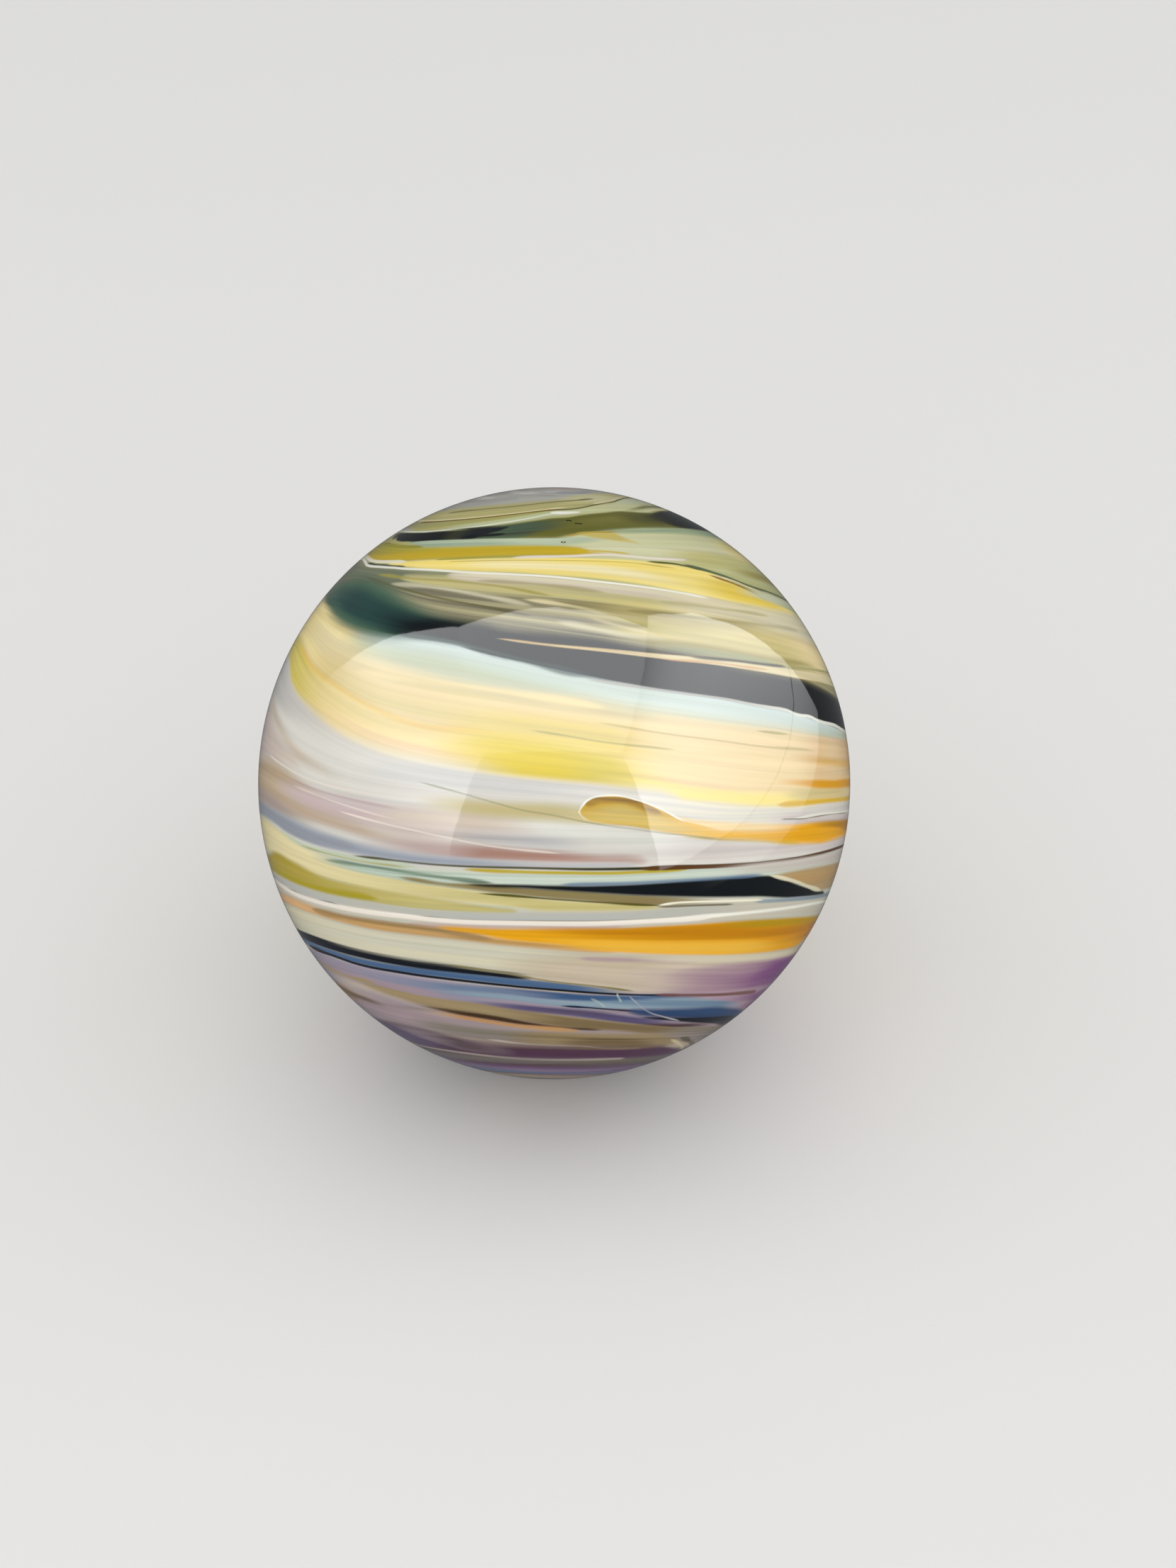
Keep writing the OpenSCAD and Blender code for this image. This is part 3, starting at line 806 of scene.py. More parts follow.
def lay_eye(band, brushed, thread):
    """The amber eye with its white outline, and the orange streak that trails from it."""
    brushed("gold", "orange", (20, -5.6, -8.5), (25, -6.6, -9.2), (30, -7.1, -9.8), (40, -7.6, -10.3),
        (50, -7.7, -11), (60, -7.4, -11), (70, -7.5, -10.4), (76, -8.2, -10), (84, -8.9, -9.5), soft=0.4,
        share=0.4, fray=0.3, change=(32, 60))
    band("peach", "cream", (22, -6, -7.6), (28, -6.7, -8.2), (36, -7.2, -8.5), (46, -7.5, -8.6),
        strength=0.85)
    thread(0.2, "ochre", None, (26, -9.6), (34, -10.1), (42, -10.5), (52, -11), soft=0.3, strength=0.7)
    band("orange_deep", "olive_low", (60, -7, -8), (70, -6.9, -8.2), (78, -6.8, -8.8), (90, -6.8, -9.4),
        (120, -6.6, -10.4), (160, -8, -12.4), (200, -11, -15), (240, -13.4, -16.6), soft=0.3, share=0.6,
        change=[(-180, 1), (-100, 1), (0, 0), (110, 0), (170, 1), (180, 1)])
    band("white_thread", None, (5.1, -4.5, -5.4), (5.6, -3.6, -6), (6.4, -2.8, -6.5), (8, -2.15, -6.7),
        (11, -1.95, -6.8), (14, -2.45, -5.6), (17, -3.25, -5.4), (20, -4.5, -6), (23.5, -6.2, -7),
        soft=(0.07, 0.1))
    brushed("amber", "gold", (5.35, -4.6, -5.4), (5.95, -3.8, -6), (6.8, -3, -6.5), (8.3, -2.45, -6.8),
        (11, -2.25, -7.2), (14, -2.76, -7.5), (17, -3.6, -8), (20, -4.8, -8.5), (24, -6.7, -9),
        (27, -7.3, -9.4), soft=(0.08, 0.3), share=0.4, change=(16, 32))
    band("amber_dark", "amber", (6.8, -3, -3.9), (9, -2.4, -3.4), (12, -2.4, -3.5), (15, -3, -4.1),
        (19, -4.6, -5.4), soft=(0.1, 0.4), share=0.6)
    brushed("khaki", "gold", (6.8, -4.6, -6.8), (12, -4, -7), (18, -5.6, -8), (24, -7.2, -8.8),
        soft=(0.7, 0.4), share=1.0, strength=0.8)
    thread(0.1, "grey_green", "khaki_olive", (-22, -0.2), (-15, -2), (-10, -3.4), (-5, -4.7), (0, -5.5),
        (5, -6.5), (10, -7.4), (15, -8.1), (20, -8.8), (25, -9.3), (31, -9.9), share=0.8, strength=0.7)


def lay_brown_line(band, brushed, thread):
    """The brown red and steel streaks that run together low on the left."""
    band("mauve_pink", "brown_red", (-30, -10, -11.6), (-20, -10.6, -13), (-15, -11, -13.4),
        (-10, -11.4, -13.6), (0, -12.2, -13.8), (8, -12.9, -13.8), (16, -13.4, -13.9), soft=0.7, share=0.6,
        fray=0.6, strength=0.85, change=(-22, -8))
    thread(0.12, "pink_white", None, (-40, -5.4), (-30, -7.4), (-20, -9.4), (-10, -11.2), (0, -12.2),
        soft=0.16, strength=0.8)
    band("white_grey", "grey_blue", (-34, -12.4, -14), (-20, -13.2, -14.8), (0, -14, -15.2),
        (14, -14.2, -14.9), soft=0.35, share=0.7)
    brushed("grey_blue", "steel", (-140, -1.4, -3.4), (-110, -2.6, -4.6), (-90, -3.4, -5.4),
        (-75, -3.6, -6), (-70, -4.2, -6.6), (-65, -5, -7.6), (-60, -6, -9), (-50, -8.4, -11.2),
        (-40, -10.4, -12.6), (-30, -12, -13.8), (-22, -12.9, -14.3), (-10, -13.7, -14.8), soft=(0.7, 0.4),
        share=0.9)
    band("steel", None, (-66, -5.8, -7.2), (-60, -7, -9), (-50, -9.4, -10.8), (-40, -11, -12), soft=0.6,
        strength=0.8)
    thread((0.4, 0.5), "aqua_pale", "aqua_white", (-62, -9.4), (-55, -11.3), (-50, -12.2), (-45, -12.9),
        (-40, -13.5), (-35, -14.1), (-28, -14.8), soft=0.3, share=0.7)
    thread(0.12, "olive_pale", None, (-54, -11.7), (-46, -13), (-38, -14.1), (-29, -15), soft=0.16)


def lay_olive_line(band, brushed, thread):
    """The cream and olive streaks of the lower left and the long dark thread above the black lens."""
    brushed("cream_low", "khaki", (-140, -5, -12.6), (-100, -6, -13), (-75, -6.6, -13), (-65, -8.6, -14),
        (-55, -11.8, -16.5), (-45, -14, -18), (-30, -17.2, -20.5), (-20, -18.7, -21.2), (-10, -19.9, -22),
        (0, -21, -23), (10, -21.5, -22.9), (20, -22.3, -22.8), soft=0.4, share=0.3, change=(-60, 20))
    band("aqua", "aqua_white", (-44, -13.8, -15.4), (-34, -15, -16.8), (-20, -16, -18.2),
        (-10, -16.4, -18.2), (10, -16.5, -18), (30, -15.6, -17.4), (50, -15.2, -16.6), (60, -14.6, -15.6),
        soft=0.35, share=0.8, change=(-30, 0))
    thread((0.2, 0.35), "teal_green", "slate", (-46, -14.2), (-36, -15.1), (-28, -16), (-20, -16.9),
        (-13, -17.6), soft=0.3, share=0.8, strength=0.85)
    brushed("olive_low", "khaki", (-120, -14, -16.4), (-95, -14, -16.6), (-75, -13.6, -16.8),
        (-70, -13.2, -17.5), (-60, -14.8, -19.2), (-50, -17.3, -20.6), (-40, -18.8, -21.5),
        (-30, -20.3, -22.4), (-20, -21.5, -23), (-10, -22.7, -23.4), (-7, -23.1, -23.3), soft=(0.5, 0.3),
        share=0.35, fray=0.4, change=(-66, -6))
    band("ochre_olive", "olive_low", (-76, -15.6, -16.8), (-64, -17.4, -18.6), (-50, -19.4, -20.4),
        (-38, -20.6, -21.5), soft=0.4)
    band("tan_olive", "olive_brown", (-28, -16.9, -17.3), (-20, -17.9, -18.5), (-15, -18, -19),
        (-10, -18.2, -19.7), (-5, -18.7, -20.2), (0, -19, -20.7), (5, -19.3, -21), (10, -19.7, -21.4),
        (15, -20, -21.9), (20, -20.3, -22.1), (26, -20.6, -22), soft=0.3, share=0.9, fray=0.3)
    thread(0.14, "olive_dark", None, (-12, -19.9), (0, -20.8), (10, -21.4), (20, -22.1), soft=0.16)
    brushed("tan_low", "tan_line", (48, -16.9, -17.4), (55, -16.1, -18.5), (60, -15.8, -19.5),
        (70, -15.3, -20.5), (84, -15, -20.2), (110, -14.4, -19), (140, -14, -17), soft=0.35)
    band("blue_black", "black", (-14, -18.1, -18.4), (-5, -18.2, -18.8), (0, -18.3, -19.1),
        (5, -18.3, -19.4), (10, -18.2, -19.7), (20, -17.9, -20.3), (30, -17.4, -20.7), (40, -17, -20.9),
        (45, -17, -21), (50, -17.6, -21.3), (55, -18.7, -21.5), (60, -19.6, -21.5), (66, -20.3, -21.5),
        (72, -20.9, -21.5), soft=(0.22, 0.25), share=0.8)
    thread(0.3, "blue_steel", None, (4, -18), (14, -17.8), (24, -17.5), (34, -17.1), (42, -16.8), soft=0.3,
        strength=0.8)
    thread(0.3, "beige_pale", None, (48, -17.2), (55, -18.3), (60, -19.3), (68, -20.4))
    thread(0.35, "blue_steel", "aqua_white", (46, -21.9), (60, -21.9), (72, -21.8), (84, -21.5), soft=0.3,
        share=0.7)
    thread(0.26, "ochre", "ochre_olive", (-14, -15.4), (-4, -15.8), (4, -15.9), (10, -15.95), (16, -15.8),
        (24, -15.5), soft=0.25)
    thread((0.1, 0.26), "olive_dark", "green_black", (-38, -13.2), (-28, -14), (-20, -14.6), (-10, -14.9),
        (0, -15.1), (8, -15.2), (16, -15.15), (22, -15.1), share=1.1)
    thread((0.4, 0.24), "brown_black", "sienna", (19, -15.15), (30, -14.95), (40, -14.7), (45, -14.45),
        (50, -14.1), (55, -13.75), (60, -13.3), (66, -12.8), (75, -12.2), (90, -11.6), (120, -10.4),
        soft=0.16, share=0.6)
    brushed("grey_pale", "lilac", (40, -14.7, -16.4), (50, -14.2, -16.2), (60, -13.6, -15.6),
        (74, -12.8, -15), (110, -11.6, -14), soft=0.35, share=0.7)


def lay_white_line(band, brushed, thread):
    """The pale threads under the lens, and the tan streak that grows into the orange band."""
    band("grey_pale", "grey_blue", (-80, -17.4, -19), (-70, -18, -19.5), (-60, -19.3, -21),
        (-50, -20.7, -22.3), (-40, -21.7, -23), (-30, -22.8, -24), (-20, -23.3, -24.8), (0, -23.5, -25.1),
        (20, -23, -24.7), (34, -22.2, -24.2), soft=0.3, share=0.7)
    thread(0.22, "slate", None, (-66, -20.4), (-60, -21.3), (-55, -22), (-49, -22.6))
    thread(0.14, "olive_dark", None, (-26, -24.5), (-20, -24.9), (0, -25.1), (20, -24.8), (29, -24.5),
        soft=0.16, strength=0.8)
    thread(0.16, "cream_thread", "white_thread", (22, -22), (25, -21.7), (32, -21.6), (44, -21.7),
        soft=0.14)
    thread(0.2, "brown_grey", None, (23, -22.4), (30, -22.3), (36, -22.3), soft=0.14)
    thread(0.3, "white_thread", None, (28, -24.7), (40, -24.2), (50, -23.8), (60, -23.4), (70, -23.1),
        (86, -23.2), (120, -22), soft=0.25)
    band("mauve_pink", "beige", (-28, -25.8, -26.8), (-10, -26, -26.8), (12, -25.8, -26.7), soft=0.35)
    thread(0.46, "pink_white", "white_thread", (-110, -17), (-90, -18), (-75, -19.3), (-65, -20.9),
        (-60, -21.6), (-50, -22.9), (-40, -23.9), (-30, -24.6), (-20, -25.3), (-10, -25.5), (0, -25.6),
        (10, -25.5), (20, -25.2), (31, -24.8), soft=0.22, share=0.7)
    band("tan_line", "peach_tan", (-130, -20.4, -22), (-100, -20.8, -22.4), (-75, -21.5, -23.2),
        (-60, -23, -24.6), (-50, -24.7, -26), (-40, -25.6, -27.4), (-30, -26.3, -28.3), (-20, -27, -29.1),
        (-10, -28.7, -30.1), (0, -29.8, -30.8), (12, -31, -31.5), soft=0.35, share=0.3, fray=0.4,
        change=(-44, -72))
    thread(0.45, "olive_brown", "tan_line", (-56, -24.2), (-46, -25.2), (-34, -26.2), (-24, -27.2),
        (-14, -28.6), soft=0.5, share=0.8, strength=0.75)
    brushed("orange", "orange_deep", (-22, -26.5, -26.9), (-15, -26.7, -27.9), (-10, -26.8, -28.9),
        (-5, -26.8, -29.5), (0, -26.8, -29.9), (5, -26.8, -30.4), (10, -26.9, -31), (20, -26.5, -31.8),
        (30, -26.1, -32.3), (40, -25.9, -32.8), (50, -26, -33), (60, -26, -32.9), (70, -26.2, -32.6),
        (80, -26.6, -30.8), (100, -26, -29.4), (140, -24, -26.8), (180, -22, -24), (200, -21.6, -22.6),
        soft=0.35, share=0.5, fray=0.4)
    brushed("orange_deep", "orange", (2, -26.6, -28), (12, -26.6, -28.8), (25, -26.4, -29.6),
        (45, -26.2, -30.2), (60, -26.4, -30.6), (74, -27, -31), (86, -27, -29.4), soft=(0.4, 1.0),
        share=0.5, fray=0.8)
    band("gold", "orange", (6, -29, -30.6), (20, -29.6, -31.6), (35, -30, -32.4), (52, -30.6, -32.8),
        soft=0.6, share=0.8)
    band("olive_low", "orange_deep", (42, -25.7, -27), (55, -25.8, -27.3), (70, -26, -27.4),
        (84, -26.2, -27.4), soft=0.45, share=0.6)


def lay_pale_low(band, brushed, thread):
    """The pale and purple fields under the orange band."""
    brushed("grey_pale", "cream_low", (-120, -24.4, -29), (-75, -23.8, -28.8), (-60, -25.2, -30.4),
        (-50, -26.8, -32), (-40, -28, -33.4), (-30, -28.8, -34), (-15, -30, -35.4), (0, -31.6, -36.4),
        soft=0.6, share=0.5)
    brushed("taupe_low", "beige", (-5, -32.6, -40), (10, -33, -41), (25, -33.4, -41), (38, -34.4, -39),
        soft=1.2)
    thread(0.4, "mauve", None, (8, -33), (20, -33.5), (32, -34), soft=0.4)
    band("beige_pale", "beige", (26, -32.8, -34), (40, -33.2, -34.6), (55, -33.4, -35), (72, -33.2, -36),
        soft=0.4)
    brushed("beige", "mauve", (24, -34.6, -41), (38, -35, -42), (52, -35.2, -42.4), (70, -35, -42.4),
        soft=(0.5, 1.2), share=0.7, strength=0.9)
    brushed("mauve", "purple", (34, -35.4, -42), (48, -35.2, -42.6), (64, -35, -42.6), (80, -34.6, -42),
        (120, -33, -41), soft=(0.6, 1.2), share=0.6, strength=0.9, change=(38, 74))
    brushed("purple_deep", "purple", (64, -35.8, -40.6), (74, -35.4, -41), (86, -35, -40.6),
        (110, -34.6, -39), soft=1.2)
    brushed("lilac", "purple", (42, -42.4, -46), (54, -42.6, -47.6), (70, -42.6, -48.4), (90, -42.6, -50),
        share=0.6, change=(48, 90))


def lay_blue_lines(band, brushed, thread):
    """The black and blue streaks low on the left, and the blue ones that they lead to on the right."""
    brushed("blue_lilac", "mauve", (-120, -34, -40), (-75, -34, -40.6), (-50, -36.8, -41), (-30, -39, -43),
        soft=0.9)
    band("blue_steel", "blue", (-130, -30, -30.6), (-100, -29.4, -31.4), (-75, -30.8, -32.3),
        (-65, -31.8, -33.4), (-50, -33.8, -35.3), (-40, -34.8, -36.3), (-30, -35.5, -37.1),
        (-20, -36.3, -38), (-10, -37.2, -39), (0, -38.3, -40), (12, -39.8, -41.2), soft=0.3, share=0.7,
        fray=0.4)
    band("black", "navy", (-110, -28, -28.6), (-90, -28.4, -30), (-75, -29, -30.9), (-65, -29.6, -31.8),
        (-55, -31, -33.1), (-45, -32.4, -34.2), (-35, -33.5, -35.2), (-25, -34.5, -36.1),
        (-15, -35.7, -36.8), (-6, -36.9, -37.4), soft=(0.4, 0.22), share=0.25, fray=0.9)
    thread(0.16, "tan_olive", "olive_dark", (-22, -34.8), (-10, -36.4), (0, -38.2), (10, -39.4),
        (18, -40.6), soft=0.25, share=0.6, strength=0.7)
    thread((0.36, 0.2), "navy", "black", (-72, -32.7), (-60, -34), (-50, -35.6), (-35, -37), (-20, -38.4),
        (0, -40.2), (10, -41.1), (20, -41.8), (31, -42.3), soft=0.18)
    thread(0.4, "tan_low", None, (-72, -36.8), (-60, -39), (-50, -39.8), soft=0.4)
    band("blue", "blue_steel", (-14, -39.7, -41.2), (0, -40.8, -42.7), (10, -41.6, -43.5), (20, -42, -43.9),
        (34, -42.6, -44.3), soft=0.3, share=0.4, fray=0.3)
    brushed("blue_lilac", "blue_steel", (-46, -37.4, -39), (-32, -38.6, -40.4), (-18, -39.6, -41.4),
        (-6, -40.8, -42), soft=0.5, share=1.0, strength=0.8, change=(-44, -14))
    band("aqua_blue", "aqua_white", (-24, -40.8, -42), (-10, -41.7, -43), (0, -42.8, -44.3),
        (10, -43.2, -45.2), (20, -43.2, -45.6), (30, -43, -46), (46, -44.2, -46.8), (58, -45.6, -47.4),
        soft=0.4, share=0.3)
    thread(0.22, "navy", None, (4, -44.6), (10, -45.1), (15, -45.6), (22, -46.2))
    brushed("blue", "navy", (22, -45.8, -46.8), (30, -46, -48), (40, -46.3, -49), (50, -46.5, -50),
        (60, -47.5, -50.8), (70, -48.5, -52), (84, -50, -54), (120, -50, -53), (150, -48, -50), soft=0.5,
        share=0.6, fray=0.5)
    band("navy", "blue", (66, -50.4, -53), (78, -51.6, -55), (100, -52, -55), soft=0.8, share=0.6)
    thread((0.2, 1.8), "black", "navy", (27, -48.4), (36, -49.2), (44, -49.9), (52, -50.5), (62, -51.2),
        (80, -53), soft=0.3, share=0.4)
    thread((0.25, 0.5), "red_brown", "plum", (28, -42), (35, -42.4), (42, -42.7), (52, -43), (64, -43.2),
        soft=0.35, share=0.6)
    thread(0.25, "aqua_white", None, (15.8, -41.6), (16.4, -42.4), (17.4, -43.4), soft=0.3, strength=0.4)
    thread(0.14, "blue_lilac", "white_thread", (20, -42.8), (23, -44.8), (27, -46.8), (32, -48.2),
        (38, -49.6), share=0.4, strength=0.6)
    thread(0.2, "aqua_white", None, (10, -42.8), (12, -43.8), (13.4, -44.8), soft=0.3, strength=0.4)


def lay_foot(band, brushed, thread):
    """The violet, olive, brown and purple streaks at the foot. Their plum glass is darkened with painted
    shade.
    """
    band("violet", "navy", (-14, -43.8, -45.2), (0, -45, -46.6), (10, -46, -48), (20, -47.6, -49.6),
        (32, -49.3, -51), soft=0.4, share=0.7)
    band("plum", None, (26, -50.2, -51.4), (40, -50.8, -52.1), (52, -51.5, -52.6), soft=0.4)
    brushed("tan_low", "olive_brown", (-58, -40, -42.2), (-50, -40.3, -43.8), (-40, -41.5, -45),
        (-35, -42.3, -45.8), (-20, -43.8, -47), (-10, -45.5, -48.5), (0, -46.9, -50), (10, -48.3, -51.3),
        (20, -49.7, -52), (30, -51, -53.2), (44, -52.6, -54), soft=0.4, share=0.5, fray=0.6,
        change=(-16, 14))
    band("dark_brown", "brown_black", (-44, -44.6, -45.2), (-35, -45.3, -46.2), (-25, -46.3, -47.7),
        (-15, -47.6, -49.1), (-10, -48.6, -49.9), (-5, -49.5, -50.4), (5, -50.8, -51.4), (13, -51.6, -51.9),
        soft=0.3, share=0.5)
    band("orange_tan", "tan_low", (-40, -45.8, -46.8), (-25, -47.7, -48.8), (-10, -49.9, -50.9),
        (6, -51.5, -52.3), soft=0.4, share=0.7)
    brushed("orange_tan", "dark_brown", (-120, -41, -45), (-76, -41.4, -45.4), (-66, -42.4, -46),
        (-56, -44, -46.4), soft=0.8, share=0.9)
    brushed("beige", "grey_lilac", (-66, -39, -43), (-56, -40.6, -44.4), (-46, -43.2, -46.4),
        (-34, -46, -48), soft=0.9, share=1.0)
    brushed("grey_lilac", "mauve", (-66, -44.6, -48.6), (-50, -45, -50), (-38, -47.6, -52),
        (-26, -49.6, -53), share=0.7)
    thread(0.6, "dark_brown", "brown_grey", (-74, -44), (-64, -44.6), (-56, -45.6), soft=0.7, share=0.6,
        strength=0.7)
    band("grey_lilac", "mauve", (-150, -46, -51), (-76, -46, -51), (-60, -47.6, -51), (-45, -49.4, -52),
        soft=0.9, share=0.8)
    brushed("brown_grey", "grey_lilac", (-38, -49, -53), (-24, -50.6, -55), (-8, -52, -56.4),
        (4, -52.8, -57), soft=0.8, share=0.7, fray=1.0)
    brushed("violet", "plum", (-120, -52, -59), (-76, -52, -59.6), (-60, -52.6, -60), (-48, -54, -60),
        soft=1.2, share=0.6, strength=0.75)
    brushed("grey_lilac", "plum", (-56, -51.6, -55), (-44, -53, -58), (-34, -55, -60), (-22, -57.6, -61),
        share=0.6, strength=0.8, change=(-52, -24))
    thread(0.2, "pink_white", None, (-20, -55.4), (-10, -56.5), (0, -57), (10, -57.5), (20, -58.8),
        (32, -59.2), soft=0.3, strength=0.35)
    brushed("olive_brown", "tan_low", (-8, -52.2, -56.4), (10, -52.6, -57), (30, -53.4, -58),
        (50, -53.6, -59), (76, -54, -60), (120, -52, -59), soft=0.7, share=0.9, fray=1.0)
    band("dark_brown", "olive_brown", (8, -55, -57.6), (22, -55.4, -58.4), (34, -56.6, -59.2), soft=0.9,
        share=1.2, fray=1.6, strength=0.7)
    band("brown_grey", "grey_lilac", (40, -52.6, -55), (54, -53, -58), (68, -54, -60), (90, -54, -60),
        soft=1.0, share=0.9, fray=1.2, strength=0.8)
    band("beige", "taupe_low", (50, -58, -60), (60, -58.6, -61.4), (72, -59, -62), soft=0.7, share=0.9,
        fray=0.8, strength=0.7)
    thread(0.3, "cream_thread", None, (46, -57), (56, -59.6), (66, -62), soft=0.4, strength=0.6)
    thread(0.4, "brown_black", "olive_dark", (50, -56.4), (60, -58.6), (70, -60.4), soft=0.4, strength=0.6)
    brushed("brown_grey", "violet", (-180, -63, -67), (-60, -62, -66), (60, -64, -68), (160, -65, -69),
        soft=1.4, share=0.9, fray=2.0, strength=0.7, ring=True)
    brushed("purple_deep", "blue_lilac", (-90, -66, -71), (-20, -68, -73), (60, -69, -74), (130, -67, -70),
        fray=2.0, strength=0.8)
    brushed("tan_low", "mauve", (-180, -75, -80), (-60, -74, -79), (60, -76, -81), (160, -76, -80),
        soft=1.6, share=1.0, fray=2.0, ring=True)
    thread(0.5, "blue", "aqua_blue", (-60, -70.6), (0, -72.6), (60, -73.4), (110, -71), soft=0.6)
    thread(0.4, "grey_lilac", "cream_thread", (-140, -61), (-90, -60.4), (-50, -61), (-10, -63.4),
        (30, -64), soft=0.5, share=0.5, strength=0.8)


SEED_RIM, SEED_CORE = (1.15, 0.85), (0.7, 0.4)      # from where to where each comes up, as shares of its size


def seed_group():
    """Node group: a small oval bubble under the surface, with a dark edge. Lays it over what is under it."""
    group, given, out = new_group(
        "seed_bubble",
        (("Under", COLOUR), ("Bearing", FLOAT), ("Height", FLOAT), ("At bearing", FLOAT),
         ("At height", FLOAT), ("Half length", FLOAT), ("Half width", FLOAT), ("Edge", COLOUR),
         ("Inside", COLOUR)),
        (("Colour", COLOUR),))
    reach = []
    for place, centre, half in (("Bearing", "At bearing", "Half length"),
                                ("Height", "At height", "Half width")):
        away = calc(group, "SUBTRACT", given[place], given[centre])
        share = calc(group, "DIVIDE", away, given[half])
        reach.append(calc(group, "MULTIPLY", share, share))
    out_from = calc(group, "SQRT", calc(group, "ADD", *reach))
    whole = smooth_step(group, out_from, *SEED_RIM)
    core = smooth_step(group, out_from, *SEED_CORE)
    rim = blend(group, whole, given["Under"], given["Edge"])
    group.links.new(blend(group, core, rim, given["Inside"]), out["Colour"])
    return group


FLOW_GUIDES = (            # a level of the flow, and its line's points (bearing, height)
    (-90, [(-75, -90), (80, -90)]),
    (-60, [(-75, -59), (-30, -60), (20, -61), (80, -62), (160, -60), (240, -59)]),
    (-51, [(-75, -46), (-50, -49), (-20, -51.5), (0, -52.5), (30, -54), (80, -56), (160, -50), (240, -46)]),
    (-46, [(-75, -40), (-50, -41.5), (-30, -44), (-10, -47), (10, -49.7), (30, -52), (80, -54), (160, -48),
           (240, -41)]),
    (-40, [(-75, -32), (-60, -33.3), (-40, -35.6), (-20, -37.2), (0, -39.2), (20, -42), (50, -44),
           (80, -44), (160, -39), (240, -33)]),
    (-31, [(-75, -24), (-60, -25.2), (-40, -27.8), (-20, -29.3), (0, -30.8), (20, -31.8), (50, -33),
           (80, -31.5), (160, -27), (240, -24)]),
    (-25, [(-75, -19.3), (-60, -21.5), (-40, -23.9), (-20, -25.2), (10, -25.5), (40, -25), (80, -24.5),
           (160, -21), (240, -18.6)]),
    (-21, [(-75, -14), (-60, -16.5), (-40, -19.5), (-20, -20.6), (0, -20.6), (30, -20.2), (60, -20),
           (80, -19), (160, -16), (240, -14)]),
    (-15, [(-75, -5), (-60, -8.6), (-45, -12.4), (-30, -14.4), (0, -15.8), (30, -14.9), (60, -13.2),
           (80, -12), (160, -8), (240, -4)]),
    (-9, [(-75, 1), (-60, -1.6), (-45, -5), (-30, -7.6), (-10, -9.4), (20, -9.6), (50, -9), (80, -8),
           (160, -3), (240, 1)]),
    (-3, [(-75, 8), (-60, 4.6), (-45, 0.6), (-30, -1.4), (0, -3.4), (30, -6), (55, -5.6), (80, -4.6),
           (160, 3), (240, 9)]),
    (2, [(-75, 25.5), (-65, 19.5), (-55, 14.8), (-45, 10.8), (-35, 6.5), (-20, 3), (0, 0.4), (20, -1.5),
           (35, -3.8), (60, -3.2), (80, -2), (160, 5), (240, 20)]),
    (9, [(-75, 29), (-65, 27), (-55, 21.8), (-45, 18), (-35, 14), (-20, 11), (0, 8.6), (20, 6), (50, 3.4),
           (80, 4), (160, 11), (240, 25)]),
    (18, [(-75, 36.5), (-60, 33.3), (-50, 30.3), (-40, 28), (-30, 26.8), (-15, 24), (0, 20.4), (15, 17.4),
           (30, 15.6), (50, 13.5), (80, 10), (120, 10), (160, 14), (200, 21), (240, 29)]),
    (27, [(-75, 39.5), (-60, 40.6), (-50, 39), (-40, 36), (-30, 32.6), (-15, 29.8), (0, 27.6), (20, 24.8),
           (40, 21.8), (60, 19.6), (80, 16.5), (120, 16), (160, 21), (200, 28), (240, 34)]),
    (40, [(-75, 48.3), (-60, 45.5), (-45, 43.9), (-30, 42.5), (0, 40.2), (20, 38.2), (40, 36), (60, 33.4),
           (80, 33), (160, 36), (240, 45)]),
    (46, [(-75, 50), (-60, 47), (-45, 45.6), (-20, 45.3), (0, 45.8), (20, 46), (50, 44), (80, 43),
           (160, 44), (240, 48)]),
    (53, [(-75, 54.5), (-60, 53), (-45, 51.3), (-20, 51), (0, 51.2), (20, 53.3), (50, 55.8), (80, 56.4),
           (160, 55.5), (240, 55)]),
    (60, [(-75, 58), (-60, 56), (-45, 55), (-20, 56), (0, 60), (20, 62), (50, 64), (80, 66.4), (160, 62.5),
           (240, 59)]),
    (70, [(-75, 68), (-40, 69), (0, 71), (40, 70), (80, 72), (160, 70), (240, 68)]),
    (90, [(-75, 90), (80, 90)]),
)

GUIDE_STEP = 2.0           # degrees from one point of a guide to the next, once it is spread out
GUIDE_ROUNDING = 11        # points that a corner is rounded off over
LEAST_GAP = 0.5            # degrees that guides stay apart by, so that the flow never jumps


def guide_heights(points, bearings):
    """Heights of a guide line at the given bearings, with its corners rounded off."""
    spread = np.arange(-540, 541, GUIDE_STEP)
    base, rise = np.array(wound(points, ring=True)).T
    heights = np.interp((spread + 180) % 360 - 180, base, rise)
    weights = np.hanning(GUIDE_ROUNDING)
    smooth = np.convolve(heights, weights / weights.sum(), mode="same")
    return np.interp(bearings, spread, smooth)


def flow_at(points, lean):
    """How far up the flow of the glass each point lies, so that fibres can run along the streaks."""
    upright = points @ np.array(Matrix.Rotation(lean, 3, "X").transposed())
    bearings = np.degrees(np.arctan2(upright[:, 0], -upright[:, 1]))
    rise = np.clip(upright[:, 2] / np.linalg.norm(upright, axis=1), -1, 1)
    heights = np.degrees(np.arcsin(rise))
    lines = [(level, guide_heights(line, bearings)) for level, line in FLOW_GUIDES]
    flow = np.full(len(points), float(lines[0][0]))
    for (low, under), (high, over) in zip(lines, lines[1:]):
        gap = np.maximum(over - under, LEAST_GAP)
        flow += (high - low) * np.clip((heights - under) / gap, 0, 1)
    return flow


